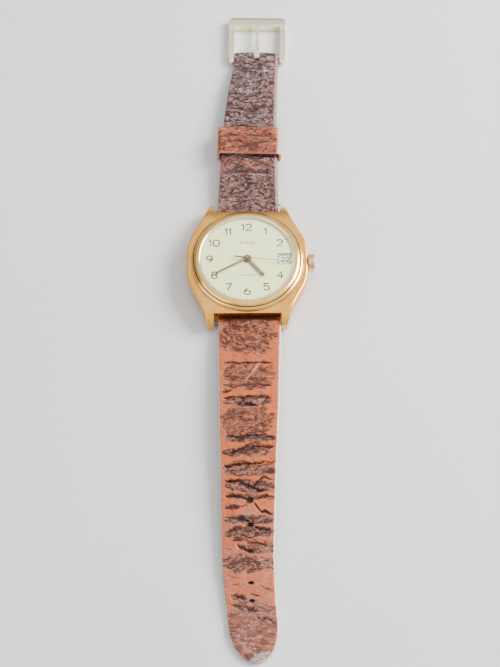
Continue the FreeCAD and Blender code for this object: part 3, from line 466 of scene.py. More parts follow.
class Wear:
    """Where one strap piece is creased and rubbed: x across and d along it, in millimetres.

    fine is the wrinkles' depth, wave the surface's slow waviness and weave the number of wrinkles in a
    millimetre across and along. Before pebbled they are round lumps, past hatched they are slanted.
    """

    HAIRLINES = 2  # beside each wide crease

    def __init__(
        self, seed, creases, zones, scratches=(), fine=0.1, wave=0.12, weave=(0.3, 1.2), pebbled=0, hatched=900
    ):
        self.seed, self.creases, self.zones = seed, creases, zones
        self.scratches, self.fine, self.wave = scratches, fine, wave
        self.weave, self.pebbled, self.hatched = weave, pebbled, hatched

    def zone(self, x, d):
        """How wrinkled and how grey a place is, the grey being wear and a painted sheen: lens-shaped patches
        with ragged borders.
        """
        ragged = 1.5 * (cloud(x * 0.45, d * 0.9, self.seed + 5, 4) - 0.5)
        found, wear_and_sheen = np.zeros_like(x), np.zeros_like(x)
        for d0, d1, x0, x1, strength, grey in self.zones:
            along = np.abs(2 * (d - d0) / (d1 - d0) - 1)
            across = np.abs(2 * (x - x0) / (x1 - x0) - 1)
            inside = soft((1.1 - along**1.8 - across**4 + ragged) / 0.5)
            found = np.maximum(found, strength * inside)
            wear_and_sheen = np.maximum(wear_and_sheen, grey * inside)
        return found, wear_and_sheen

    def wrinkles(self, x, d):
        """Valleys between the fine folds: long ones across the strap, shorter slanted ones, a thin net."""
        sway = (cloud(x * 0.16, d * 0.12, self.seed + 20) - 0.5) * 5
        kx, kd = self.weave
        lying = cloud(x * kx, (d + sway) * kd, self.seed + 30)
        slanted = cloud(x * 1.0 + d * 0.55, (d + sway) * 1.2 - x * 0.45, self.seed + 40)
        net = veins(x * 0.7, (d + sway) * 1.35, self.seed + 45, 0.07, 3)
        pebbles = cloud(x * 0.95 + d * 0.55, d * 1.25 - x * 0.6, self.seed + 47)
        lying = lying + (pebbles - lying) * soft((self.pebbled - d) / 2)
        hatching = cloud(x * 0.5, (d - 0.25 * x) * 2.1, self.seed + 48)
        lying = lying + (hatching - lying) * soft((d - self.hatched) / 2)
        valley = np.maximum(soft((0.455 - lying) / 0.11), 0.85 * soft((0.41 - slanted) / 0.11))
        return np.maximum(valley, 0.85 * net), soft((lying - 0.46) / 0.16)

    def lines(self, x, d, points, width):
        """Closeness to a ragged line and to the hairlines that leave it and join it again."""
        xs, ds = zip(*points)
        mark = points[0][1]
        wander = (cloud(x * 0.7, d * 0.05, self.seed + 50 + mark) - 0.5) * 0.9
        wander = wander + (cloud(x * 2.2, d * 0.05, self.seed + 55 + mark) - 0.5) * 0.35
        main = np.interp(x, xs, ds) + wander
        share = np.clip((x - xs[0]) / (xs[-1] - xs[0]), 0, 1)
        taper = soft(np.minimum(share, 1 - share) * 3.5)
        swell = cloud(x * 0.55, d * 0.1, self.seed + 60 + mark, 2) ** 2
        yield np.abs(d - main), width * (0.12 + 2.6 * swell) * (0.35 + 0.65 * taper), soft(taper * 4)
        for k in range(self.HAIRLINES if width >= 0.2 else 0):
            start = 0.55 * float(scatter(mark, k, self.seed + 61))
            length = 0.25 + 0.3 * float(scatter(mark, k, self.seed + 62))
            side = (1 if k % 3 else -1) * (0.3 + 0.6 * float(scatter(mark, k, self.seed + 63)))
            part = np.clip((share - start) / length, 0, 1)
            thin = 0.13 + 0.10 * cloud(x * 1.3, d * 0.3, self.seed + 64 + k, 2)
            yield np.abs(d - main - side * np.sin(math.pi * part)), thin, 0.8 * (part > 0) * (part < 1)

    def at(self, x, d):
        """Height to add, and how cracked, wrinkled, grey from wear and painted sheen, and scratched the place
        is, from 0 to 1.
        """
        zone, wear_and_sheen = self.zone(x, d)
        valley, ridge = self.wrinkles(x, d)
        height = self.wave * (cloud(x * 0.12, d * 0.22, self.seed, 2) - 0.5)
        height = height - self.fine * zone * valley - 0.10 * zone
        height = height - 0.25 * self.fine * (1 - zone) * veins(x * 0.5, d * 1.6, self.seed + 70, 0.05)
        crack = 0.85 * zone * np.clip(valley * 1.9 - 0.5, 0, 1)
        # Painted sheen: the grey is strongest on the wrinkles' ridges, standing for the light they catch.
        wear_and_sheen = wear_and_sheen * (0.4 + 0.6 * ridge)
        for points, width, depth in self.creases:
            for k, (away, thick, fade) in enumerate(self.lines(x, d, points, width)):
                groove = np.exp(-((away / thick) ** 2)) * fade
                size = depth if k == 0 else 0.3 * depth
                lips = np.exp(-(((away - 2.4 * thick) / (1.5 * thick)) ** 2)) * fade
                height = height - size * groove + 0.22 * size * lips
                if k == 0:
                    height = height - 0.35 * depth * np.exp(-((away / 1.1) ** 2)) * fade
                crack = np.maximum(crack, np.clip(1.6 * groove, 0, 1))
        scratch = np.zeros_like(x)
        for points, width in self.scratches:
            away, thick, fade = next(self.lines(x, d, points, width))
            ridge = np.exp(-((away / np.maximum(thick, 0.5 * width)) ** 2)) * fade
            scratch = np.maximum(scratch, ridge)
            height = height + 0.08 * ridge
        return height, np.clip(crack, 0, 1), zone, wear_and_sheen, scratch


def paint(piece, values):
    """Stores a value per point for the material to read."""
    for name, value in values.items():
        layer = piece.data.attributes.new(name, "FLOAT", "POINT")
        layer.data.foreach_set("value", np.asarray(value, np.float32))


def finish_leather(piece, look):
    """Smooth shading that keeps the cut edges sharp, and the leather's look."""
    piece.data.shade_smooth()
    piece.data.set_sharp_from_angle(angle=math.radians(55))
    piece.data.materials.append(look)


# ---- strap ----
def lean_at(d):
    """How far the strap's rows have turned to meet the buckle's pin."""
    return math.tan(BUCKLE_LEAN) * soft((d - 66.0) / 7.0)


def measure(node, rows, sign, leaning):
    """Left and right edge, bottom and top of a strap solid at each distance along it."""
    mesh = nodes[node].data
    tree = BVHTree.FromPolygons([v.co for v in mesh.vertices], [p.vertices for p in mesh.polygons])
    low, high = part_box(node)
    middle = START_Z
    found = []
    left, right = low.x / MM, high.x / MM
    bottom, top = middle - 0.5, middle + 0.5

    def reach(x, y, z, axis, way):
        """Where a ray from outside first meets the solid."""
        start = Vector((x, y, z))
        start[axis] = -0.05 * way
        hit = tree.ray_cast(start, Vector([way * (k == axis) for k in range(3)]))[0]
        return None if hit is None else hit[axis] / MM

    for d in rows:
        y = sign * d * MM
        beside = sign * min(d, LEAN_END) * MM if leaning else y
        seen = reach(0, beside, middle * MM, 0, 1), reach(0, beside, middle * MM, 0, -1)
        if None not in seen:
            left, right = seen
        centre, half = (left + right) / 2, (right - left) / 2
        shift = lean_at(d) * half / 2 * MM if leaning else 0
        x = (centre + half / 2) * MM
        seen = reach(x, y + shift, 0, 2, 1), reach(x, y + shift, 0, 2, -1)
        if None not in seen:
            bottom, top = seen
            middle = (bottom + top) / 2
        found.append((left, right, bottom, top))
    return np.array(found)


def strap_rows(start, end, start_round, end_round, step):
    """Distances of a strap's cross-sections, closer together where an end is rounded."""
    inset = 0.004
    ease = np.linspace(0, math.pi / 2, 11)[:-1]
    first = start + start_round * (1 - np.cos(ease)) if start_round else np.array([start])
    last = end - end_round * (1 - np.cos(ease[::-1])) if end_round else np.array([end])
    body = np.arange(start + start_round + step, end - end_round - step / 2, step)
    return np.concatenate([first + inset, body, last - inset])


def strap_section(left, right, bottom, top, wide, roll_l, roll_r, crown, share):
    """A cross-section from the top left round: x, z and how far relief lifts the point."""
    thick = top - bottom
    drop_l, drop_r = min(0.7 * thick, 0.9), min(0.75 * thick, 1.3)
    side_l, side_r = top - crown - drop_l, top - crown - drop_r
    under = min(0.2 * thick, 0.3)
    turns = [(math.sin(angle), math.cos(angle)) for angle in np.linspace(0, math.pi / 2, 6)]
    x = np.minimum(left + roll_l + (wide - roll_l - roll_r) * share, right - roll_r)
    bow = crown * (1 - np.abs(2 * share - 1) ** 3) - crown
    ring = [(a, top + b, 1.0) for a, b in zip(x, bow)]
    ring += [(right - roll_r + roll_r * sin, side_r + drop_r * cos, cos) for sin, cos in turns[1:]]
    ring += [(right - under + under * cos, bottom + under - under * sin, 0.0) for sin, cos in turns[1:]]
    ring += [(a, bottom, 0.0) for a in np.linspace(right - under, left + under, 16)[1:]]
    ring += [(left + under - under * sin, bottom + under - under * cos, 0.0) for sin, cos in turns[1:]]
    ring += [(left + roll_l - roll_l * cos, side_l + drop_l * sin, sin) for sin, cos in turns[:-1]]
    return ring


def leather_strip(name, node, sign, wear, step, rolls, ends, crown=0.0, leaning=False, notches=()):
    """A strap layer inside its CAD solid: rounded and rolled edges, relief from wear and creasing on top."""
    low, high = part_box(node)
    start, end = sorted((abs(low.y) / MM, abs(high.y) / MM))
    rows = strap_rows(start, end, *ends, step)
    found = measure(node, rows, sign, leaning)
    columns = int(round((found[:, 1] - found[:, 0]).max() / step))
    share = np.linspace(0, 1, columns + 1)
    tight = 0.35  # the right edge's rounding between the lugs
    rings = []
    for d, (left, right, bottom, top) in zip(rows, found):
        wide = right - left
        left += sum(size * math.exp(-(((d - at) / 0.4) ** 2)) for at, size in notches)
        left += 0.10 * cloud(np.array([d * 0.7]), np.array([3.0]), 7)[0]
        right -= 0.10 * cloud(np.array([d * 0.6]), np.array([8.0]), 9)[0]
        roll_l = min(rolls[0], wide * 0.3)
        roll_r = min(tight + (rolls[1] - tight) * soft((d - start - 3.5) / 6), wide * 0.3)
        rings.append(strap_section(left, right, bottom, top, wide, roll_l, roll_r, crown, share))
    rings = np.array(rings)
    x, lift = rings[:, :, 0], rings[:, :, 2]
    d = np.repeat(rows[:, None], x.shape[1], 1)
    height = wear.at(x, d)[0]
    near_end = soft((d - start) / 1.5) * soft((end - d) / 1.5)
    z = rings[:, :, 1] + lift * height * near_end
    centre = (found[:, 0] + found[:, 1])[:, None] / 2
    y = sign * (d + (lean_at(d) * (x - centre) if leaning else 0))
    solid = Solid()
    solid.loft(np.stack([x, y, z], 2))
    return solid.build(name, smooth=True), rows, found


def colour_strip(piece, sign, wear, rows, found, edges, tip=None, seam=0.0, holes=()):
    """Marks cracks, grey patches of wear with a painted sheen, pale cut edges with a wider painted highlight
    along the right edge, and painted shade between the lugs and in the holes, on a strap layer for its
    material.
    """
    mesh = piece.data
    count = len(mesh.vertices)
    place, normal = np.zeros(3 * count), np.zeros(3 * count)
    mesh.vertices.foreach_get("co", place)
    mesh.vertex_normals.foreach_get("vector", normal)
    place, normal = place.reshape(-1, 3) / MM, normal.reshape(-1, 3)
    x, d = place[:, 0], sign * place[:, 1]
    _, crack, zone, wear_and_sheen, scratch = wear.at(x, d)
    left, right = np.interp(d, rows, found[:, 0]), np.interp(d, rows, found[:, 1])
    ragged = 0.25 * (cloud(d * 1.2, x * 0.5, 90) - 0.5)
    over_left = left + edges[0] + ragged - x
    over_right = x - right + edges[1] + ragged
    # Pale cut edges on both sides; the wider band on the right, where the light comes from, is a painted
    # highlight.
    pale = np.maximum(soft(over_right / 0.25), soft(over_left / 0.2))
    pale = np.maximum(pale, soft((np.abs(normal[:, 0]) - 0.75) / 0.2))
    if tip is not None:
        patch = tip(x, d)
        pale = np.maximum(pale, patch)
        border = np.exp(-(((patch - 0.14) / 0.06) ** 2)) * (d > 109)
        crack = np.maximum(crack, 1.8 * border)
    breaks = soft((cloud(d * 0.35, x * 0.1, 91) - 0.3) / 0.2)
    crack = np.maximum(crack, seam * np.exp(-(((over_right + 0.15) / 0.16) ** 2)) * breaks)
    # Painted shade: the strap's end under the case, between the lugs, is painted near-black.
    painted_shade_between_lugs = soft((rows[0] + 1.5 - d + 2 * ragged) / 0.7)
    crack = np.maximum(crack, 0.95 * painted_shade_between_lugs)
    top = soft((normal[:, 2] + 0.05) / 0.35) * (1 - pale)
    crack = crack * top
    # Painted shade: each hole's walls and rim are painted dark.
    for hole_x, hole_d, half_width, half_length in holes:
        away = np.hypot((x - hole_x) / half_width, (d - hole_d) / half_length)
        crack = np.maximum(crack, 1 - soft((away - 1.1) / 0.5))
    zone, wear_and_sheen, scratch = zone * top, wear_and_sheen * top, scratch * top
    paint(piece, {"crack": crack, "zone": zone, "wear_and_sheen": wear_and_sheen, "scratch": scratch, "edge": pale})


# Creases: points as (x, d), width and depth.
TAIL_CREASES = [
    ([(-7.0, 30.8), (-3.0, 31.0), (3.7, 30.6), (7.6, 30.9)], 0.26, 0.32),
    ([(-3.1, 38.0), (1.5, 37.6), (6.6, 37.8)], 0.22, 0.25),
    ([(-7.6, 39.7), (-4.1, 39.4)], 0.22, 0.25),
    ([(-7.6, 41.8), (-2.8, 41.5), (2.3, 40.8), (7.0, 41.9)], 0.32, 0.42),
    ([(-3.4, 43.0), (0.0, 43.5), (2.9, 44.1)], 0.28, 0.35),
    ([(-1.2, 51.4), (2.5, 49.3), (7.8, 47.1)], 0.18, 0.20),
    ([(-6.9, 52.3), (-2.0, 53.1), (3.0, 52.2), (7.3, 52.9)], 0.30, 0.38),
    ([(-6.6, 57.3), (-3.4, 56.9), (-1.0, 55.9), (7.5, 55.6)], 0.34, 0.45),
    ([(-7.2, 61.1), (-1.0, 60.5), (7.3, 59.8)], 0.36, 0.50),
    ([(-7.2, 65.3), (-2.3, 65.2), (1.8, 67.5), (5.5, 67.9)], 0.34, 0.45),
    ([(0.8, 66.4), (3.8, 64.2), (7.2, 64.8)], 0.28, 0.35),
    ([(-6.7, 69.0), (-3.0, 69.4), (-0.3, 70.2)], 0.36, 0.42),
    ([(0.9, 70.3), (3.2, 69.7), (7.2, 69.3)], 0.30, 0.38),
    ([(-6.9, 72.7), (-2.4, 72.4), (-0.2, 71.2)], 0.30, 0.36),
    ([(0.9, 71.2), (3.1, 73.4), (6.6, 74.3)], 0.36, 0.45),
    ([(-6.7, 75.1), (-2.5, 75.3), (0.4, 76.2)], 0.30, 0.32),
    ([(-6.3, 79.2), (-3.6, 78.1), (-0.5, 77.4)], 0.26, 0.28),
    ([(1.1, 77.4), (3.5, 78.3), (5.9, 78.6)], 0.30, 0.32),
    ([(-6.5, 81.0), (-2.2, 80.8), (2.5, 82.0), (6.3, 83.4)], 0.26, 0.34),
    ([(-3.5, 82.4), (-1.6, 83.4), (0.0, 84.1)], 0.30, 0.36),
    ([(-6.6, 83.4), (-4.2, 83.7)], 0.17, 0.20),
    ([(-6.0, 90.3), (-3.0, 91.2)], 0.14, 0.14),
    ([(-5.0, 92.6), (-2.4, 92.7)], 0.14, 0.14),
    ([(1.6, 92.9), (6.3, 94.6)], 0.14, 0.14),
    ([(-0.5, 94.9), (5.6, 96.6)], 0.14, 0.14),
    ([(-5.2, 95.8), (-1.0, 96.3)], 0.22, 0.22),
    ([(-5.6, 97.9), (-1.0, 98.8), (2.5, 99.6)], 0.22, 0.22),
    ([(1.5, 100.8), (6.4, 102.5)], 0.20, 0.20),
]
# Zones: d from and to, x from and to, how wrinkled and how grey, from wear and painted sheen.
TAIL_ZONES = [
    (15.0, 28.6, -8.6, 7.9, 0.95, 0.06),
    (30.4, 38.8, -7.6, 7.8, 0.88, 0.10),
    (41.3, 44.1, -7.4, 6.6, 1.0, 0.6),
    (43.6, 52.8, -8.0, 7.4, 0.88, 0.10),
    (52.0, 54.5, -7.6, 7.6, 1.0, 0.5),
    (56.0, 58.5, -7.4, 6.4, 1.0, 0.55),
    (60.3, 63.9, -7.5, 7.4, 1.0, 0.45),
    (65.0, 68.5, -7.4, 7.4, 1.0, 0.55),
    (68.8, 70.2, -6.4, 6.4, 0.8, 0.3),
    (74.6, 77.1, -7.2, 6.9, 1.0, 0.65),
    (77.7, 80.6, -7.2, 6.8, 1.0, 0.65),
    (81.7, 84.8, -1.5, 6.9, 0.9, 0.5),
    (84.9, 89.9, -7.2, 6.9, 0.95, 0.7),
    (95.4, 96.9, -5.0, -0.6, 0.9, 0.4),
    (97.0, 110.5, -6.6, 7.4, 0.6, 0.65),
    (109.0, 115.0, -2.4, 8.0, 0.75, 1.0),
    (68.0, 114.0, -12.0, 12.0, 0.0, 0.18),
]
# Scratches: points as (x, d) and width.
TAIL_SCRATCHES = [([(-1.3, 37.0), (3.6, 30.4)], 0.34)]
# Notches in the left edge: d and depth.
TAIL_NOTCHES = [(39.2, 0.25), (61.5, 0.2), (65.5, 0.3), (89.8, 0.35)]
TAIL_NOTCHES += [(90.9, 0.4), (92.1, 0.45), (93.4, 0.4), (94.9, 0.25)]
# The buckle's holes: x, d, half width and half length.
TAIL_HOLES = [
    (0.35, 70.5, 0.85, 0.75),
    (0.3, 77.1, 0.85, 0.6),
    (0.25, 84.1, 0.7, 0.45),
    (0.35, 92.4, 0.65, 0.35),
    (0.6, 97.0, 0.6, 0.35),
]
BUCKLE_CREASES = [
    ([(-7.4, 30.9), (-1.0, 31.2), (5.0, 30.6), (8.0, 31.4)], 0.24, 0.25),
    ([(-6.6, 46.4), (-2.0, 46.9), (3.0, 46.3), (8.0, 46.9)], 0.22, 0.24),
    ([(-2.0, 36.2), (2.4, 35.4), (5.6, 35.9)], 0.2, 0.2),
]
BUCKLE_ZONES = [
    (14.0, 33.5, -9.8, 9.8, 1.0, 0.36),
    (31.0, 39.5, -9.8, 9.8, 0.9, 0.12),
    (36.5, 66.0, -9.4, 9.6, 1.0, 0.6),
    (58.0, 80.0, -9.4, 9.6, 1.0, 0.95),
]
BUCKLE_SCRATCHES = [([(-1.5, 35.0), (3.6, 31.2)], 0.25)]


def tip_wear(x, d):
    """The tail's end, rubbed through to the pale lining on one side."""
    ragged = 0.8 * (cloud(x * 0.9, d * 0.9, 33) - 0.5)
    reach = np.interp(x, [-2.0, 1.5, 4.0, 7.5], [113.5, 110.6, 109.3, 109.9])
    inside = soft((d - reach + ragged) / 0.5) * soft((x + 1.6) / 1.2)
    return (0.05 + 0.5 * cloud(x * 1.1, d * 1.6, 34)) * inside


def punches(share):
    """Cutters for the buckle's holes, which have drawn together into short slots."""
    cutters = []
    for x, d, half_width, half_length in TAIL_HOLES:
        cutter = tube(1.0, (0, 0, -2), (0, 0, 9), 28)
        scale = Matrix.Diagonal((half_width * share, half_length * share, 1, 1))
        cutter.data.transform(Matrix.Translation(Vector((x, -d, 0)) * MM) @ scale)
        cutters.append(cutter)
    return cutters


def middle_of(node):
    """The middle of a CAD piece's box, in millimetres."""
    low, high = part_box(node)
    return (low + high) / 2 / MM


def bar_hole(node):
    """A cutter for a lug spring bar's hole."""
    bar = middle_of(node)
    return tube(BAR_HOLE_RADIUS, (-CUT, bar.y, bar.z), (CUT, bar.y, bar.z))


def tongue_slot(pin):
    """A cutter for the tongue's slot, sloped where the tongue swings down."""
    outline = [(-1.3, -3), (3, -3), (3, 3), (-2.6, 3), (-2.6, 1.3), (-1.4, -0.3)]
    room = Solid()
    room.loft([[(side, y, z) for y, z in outline] for side in (-SLOT_HALF_WIDTH, SLOT_HALF_WIDTH)])
    slot = room.build("cutter")
    slot.data.transform(Matrix.Translation(pin * MM) @ Matrix.Rotation(BUCKLE_LEAN, 4, "Z"))
    return slot


def make_tail_strap(step):
    tan = leather(
        "strap_tan",
        base=(0.46, 0.094, 0.023),
        light=(0.54, 0.134, 0.042),
        dark=(0.016, 0.006, 0.005),
        wear_and_sheen=(0.52, 0.33, 0.30),
        edge_and_highlight_colour=(0.80, 0.72, 0.71),
        fine=1.35,
    )
    wear = Wear(3, TAIL_CREASES, TAIL_ZONES, TAIL_SCRATCHES, 0.2, 0.25, (0.5, 1.7), pebbled=29.0, hatched=95.5)
    piece, rows, found = leather_strip(
        "strap_tail", "strap_tail_outer", -1, wear, step, (0.35, 0.5), (1.3, 3.0), 0.22, notches=TAIL_NOTCHES
    )
    cut(piece, punches(1.0) + [bar_hole("lug_spring_bar_6")])
    colour_strip(piece, -1, wear, rows, found, (0.28, 0.5), tip_wear, holes=TAIL_HOLES)
    finish_leather(piece, tan)
    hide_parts("strap_tail_outer")
    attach(piece, "tail_strap")


def make_buckle_strap(step):
    brown = leather(
        "strap_brown",
        base=(0.23, 0.050, 0.025),
        light=(0.39, 0.098, 0.048),
        dark=(0.012, 0.005, 0.005),
        wear_and_sheen=(0.64, 0.53, 0.54),
        edge_and_highlight_colour=(0.22, 0.17, 0.165),
        fine=1.45,
    )
    wear = Wear(11, BUCKLE_CREASES, BUCKLE_ZONES, BUCKLE_SCRATCHES, 0.24, 0.3, (0.7, 2.3))
    piece, rows, found = leather_strip(
        "strap_buckle", "strap_buckle_outer", 1, wear, step, (0.4, 1.15), (1.3, 1.15), 0.25, leaning=True
    )
    pin = middle_of("buckle_bar")
    along = Vector((math.cos(BUCKLE_LEAN), math.sin(BUCKLE_LEAN), 0))
    pin_hole = tube(PIN_HOLE_RADIUS, pin - along * CUT, pin + along * CUT)
    cut(piece, [tongue_slot(pin), pin_hole, bar_hole("lug_spring_bar_12")])
    colour_strip(piece, 1, wear, rows, found, (0.3, 1.05), seam=0.8)
    finish_leather(piece, brown)
    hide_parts("strap_buckle_outer")
    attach(piece, "buckle_strap")


def make_linings():
    pale = leather(
        "strap_lining",
        base=(0.34, 0.24, 0.17),
        light=(0.42, 0.31, 0.23),
        dark=(0.10, 0.07, 0.05),
        wear_and_sheen=(0.45, 0.38, 0.33),
        edge_and_highlight_colour=(0.62, 0.54, 0.48),
        grain=0.6,
    )
    wear = Wear(23, [], [(20.0, 113.0, -9.0, 9.0, 0.35, 0.3)], fine=0.03, wave=0.0)
    for name, node, sign, body, end, holes in (
        ("lining_tail", "strap_tail_lining", -1, "tail_strap", 3.0, TAIL_HOLES),
        ("lining_buckle", "strap_buckle_lining", 1, "buckle_strap", 0.0, ()),
    ):
        piece, rows, found = leather_strip(name, node, sign, wear, 0.5, (0.15, 0.15), (0.0, end))
        if holes:
            cut(piece, punches(0.55))
        colour_strip(piece, sign, wear, rows, found, (0.0, 0.0), holes=holes)
        finish_leather(piece, pale)
        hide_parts(node)
        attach(piece, body)


def make_straps():
    step = 0.2
    make_tail_strap(step)
    make_buckle_strap(step)
    make_linings()


def rounded_loop(half, low, high, radius, per_corner, gap):
    """Points and outward directions round a rectangle with rounded corners, gap apart on the sides."""
    right, left, upper, lower = half - radius, -half + radius, high - radius, low + radius
    corners = [(right, upper, 90), (right, lower, 0), (left, lower, -90), (left, upper, -180)]
    points = []
    for k, (x, z, start) in enumerate(corners):
        for angle in np.linspace(start, start - 90, per_corner):
            cos, sin = math.cos(math.radians(angle)), math.sin(math.radians(angle))
            points.append((x + radius * cos, z + radius * sin, cos, sin))
        last_x, last_z, cos, sin = points[-1]
        next_x, next_z, _ = corners[(k + 1) % 4]
        run_x, run_z = next_x + radius * cos - last_x, next_z + radius * sin - last_z
        for share in np.linspace(0, 1, gap[k % 2] + 1)[1:-1]:
            points.append((last_x + run_x * share, last_z + run_z * share, cos, sin))
    return np.array(points)


KEEPER_CREASES = [
    ([(-8.4, 1.6), (-3.0, 2.0), (3.0, 1.5), (7.6, 1.9)], 0.2, 0.18),
    ([(-8.0, -1.0), (-4.0, -0.4), (0.5, -1.2), (7.0, -0.6)], 0.2, 0.2),
    ([(-7.6, -2.8), (-2.0, -2.4), (4.5, -2.9)], 0.18, 0.15),
]
KEEPER_ZONES = [(-5.8, 5.6, -10.5, 9.0, 0.9, 0.2)]


def keeper_section(half_depth, count):
    """The band's section: along the strap, and from 0 outside to 1 inside, with rounded rims."""
    rim = 0.25
    band = np.linspace(-half_depth + rim, half_depth - rim, count)
    turns = [(math.sin(angle), math.cos(angle)) for angle in np.linspace(0, math.pi, 8)[1:]]
    section = [(y, 0.0) for y in band]
    section += [(half_depth - rim + rim * sin, 0.5 - 0.5 * cos) for sin, cos in turns]
    section += [(y, 1.0) for y in band[::-1][1:]]
    section += [(-half_depth + rim - rim * sin, 0.5 + 0.5 * cos) for sin, cos in turns[:-1]]
    return np.array(section)


def make_keeper():
    low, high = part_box("keeper")
    centre = middle_of("keeper")
    half, half_depth = 9.5, 4.65
    side_wall, bottom_wall, top_wall = 0.8, 0.85, 0.95
    coarse = 1
    gap = (18 // coarse, 88 // coarse)
    outer = rounded_loop(half, low.z / MM, high.z / MM, 1.5, 9, gap)
    inner = rounded_loop(half - side_wall, low.z / MM + bottom_wall, high.z / MM - top_wall, 0.6, 9, gap)
    y, depth = keeper_section(half_depth, 46 // coarse).T
    outside = 1 - soft(depth / 0.3)
    wear = Wear(31, KEEPER_CREASES, KEEPER_ZONES, fine=0.14, wave=0.15, weave=(0.5, 1.9))
    rings, marks = [], []
    for (ox, oz, nx, nz), (ix, iz, _, _) in zip(outer, inner):
        x = ox + (ix - ox) * depth
        z = oz + (iz - oz) * depth
        height, crack, zone, wear_and_sheen, _ = wear.at(x, y)
        top = soft((nz - 0.2) / 0.6) * outside
        away = top * (height - 0.18 * soft((np.abs(y) - 3.6) / 1.0))
        rims = 0.3 * soft(depth * 4) * (1 - soft((depth - 0.9) * 10))
        # Painted highlight: the band's right end is painted pale as if lit, added to the pale cut rims.
        right_highlight = 0.75 * soft((ox - 7.6) / 1.4) * outside
        rings.append(np.c_[x + nx * away, y, z + nz * away])
        marks.append(np.c_[crack * top, zone * top, wear_and_sheen * top, np.clip(rims + right_highlight, 0, 1)])
    solid = Solid()
    solid.loft(rings, closed_path=True)
    piece = solid.build("keeper_loop", smooth=True)
    marks = np.concatenate(marks)
    paint(piece, {name: marks[:, k] for k, name in enumerate(("crack", "zone", "wear_and_sheen", "edge"))})
    place = Matrix.Translation(Vector((centre.x, centre.y, 0)) * MM)
    piece.data.transform(place @ Matrix.Rotation(KEEPER_LEAN, 4, "Z"))
    russet = leather(
        "keeper_leather",
        base=(0.52, 0.090, 0.030),
        light=(0.66, 0.18, 0.065),
        dark=(0.028, 0.010, 0.008),
        wear_and_sheen=(0.56, 0.28, 0.22),
        edge_and_highlight_colour=(0.66, 0.50, 0.47),
        fine=1.3,
    )
    finish_leather(piece, russet)
    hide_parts("keeper")
    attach(piece, "keeper")


# ---- dial ----
def arc(x, y, rx, ry, start, end, count=14):
    """Points along part of an ellipse, from one angle to another in degrees."""
    angles = [math.radians(angle) for angle in np.linspace(start, end, count)]
    return [(x + rx * math.cos(angle), y + ry * math.sin(angle)) for angle in angles]


def oval(x, y, rx, ry):
    return arc(x, y, rx, ry, 0, 345, 24)


# A digit is one or more lines, each closed or not, in a box from -0.5 to 0.5 both ways.
SIX = [(True, oval(0, -0.2, 0.5, 0.3)), (False, [(-0.5, -0.2), (-0.45, 0.08), (-0.26, 0.33), (0.08, 0.5)])]
DIGITS = {
    "0": [(True, arc(0, 0.14, 0.5, 0.36, 0, 180) + arc(0, -0.14, 0.5, 0.36, 180, 360))],
    "1": [(False, [(-0.3, 0.2), (0.06, 0.5), (0.06, -0.5)])],
    "2": [(False, arc(0, 0.19, 0.47, 0.31, 170, -30) + [(-0.5, -0.5), (0.5, -0.5)])],
    "3": [(False, arc(0, 0.25, 0.42, 0.25, 150, -80)), (False, arc(0, -0.23, 0.5, 0.27, 85, -150))],
    "4": [(False, [(0.22, -0.5), (0.22, 0.5), (-0.5, -0.22), (0.52, -0.22)])],
    "5": [(False, [(0.42, 0.5), (-0.38, 0.5), (-0.43, 0.08)] + arc(0, -0.17, 0.5, 0.33, 130, -150))],
    "6": SIX,
    "7": [(False, [(-0.5, 0.5), (0.5, 0.5), (-0.14, -0.5)])],
    "8": [(True, oval(0, 0.26, 0.42, 0.24)), (True, oval(0, -0.24, 0.5, 0.26))],
    "9": [(closed, [(-x, -y) for x, y in line]) for closed, line in SIX],
}


def number(solid, text, x, y, wide, tall, stroke, low, high, turn=0.0):
    """Sets a number's strokes, centred on (x, y), turned about the dial's middle."""
    narrow = 0.32  # a 1 takes this share of another digit's width
    widths = [wide * (narrow if character == "1" else 1.0) for character in text]
    gap = stroke * 1.6
    start = x - (sum(widths) + gap * (len(text) - 1)) / 2
    cos, sin = math.cos(turn), math.sin(turn)
    for character, width in zip(text, widths):
        middle = start + width / 2
        for closed, line in DIGITS[character]:
            points = [(middle + wide * px, y + tall * py) for px, py in line]
            spun = [(a * cos - b * sin, a * sin + b * cos) for a, b in points]
            solid.ribbon(spun, stroke, low, high, closed)
        start += width + gap


def make_dial_print():
    """The numerals, the minute track, three lozenges, a short line and the date window's frame."""
    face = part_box("dial")[1].z / MM
    low, high = face - 0.005, face + 0.018
    across, along = 10.7, 10.3
    wide, tall, stroke = 1.66, 2.05, 0.35
    ink = Solid()
    for hour in (12, 1, 2, 4, 5, 6, 7, 8, 9, 10, 11):
        angle = math.radians(90 - 30 * hour)
        x, y = across * math.cos(angle), along * math.sin(angle)
        number(ink, str(hour), x, y, wide, tall, stroke, low, high)
    for minute in range(60):
        angle = math.radians(6 * minute)
        cos, sin = math.cos(angle), math.sin(angle)
        inner, outer, width = (12.45, 12.8, 0.22) if minute % 5 == 0 else (12.55, 12.75, 0.08)
        ink.ribbon([(inner * cos, inner * sin), (outer * cos, outer * sin)], width, low, high)
    for x in (-1.45, 0, 1.45):
        ink.ribbon([(x - 0.5, 5.25), (x, 5.65), (x + 0.5, 5.25), (x, 4.85)], 0.16, low, high, closed=True)
    ink.ribbon([(-2.6, -5.15), (2.4, -5.15)], 0.2, low, high)
    left, right, half = 8.68, 12.42, 1.72
    window = [(left, -half), (right, -half), (right, half), (left, half)]
    ink.ribbon(window, 0.13, low, high, closed=True)
    piece = ink.build("dial_print")
    black = plain("printing_ink", (0.020, 0.022, 0.018), (0.035, 0.035, 0.030), 0.45, 3000, 0.004)
    piece.data.materials.append(black)
    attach(piece, "case")


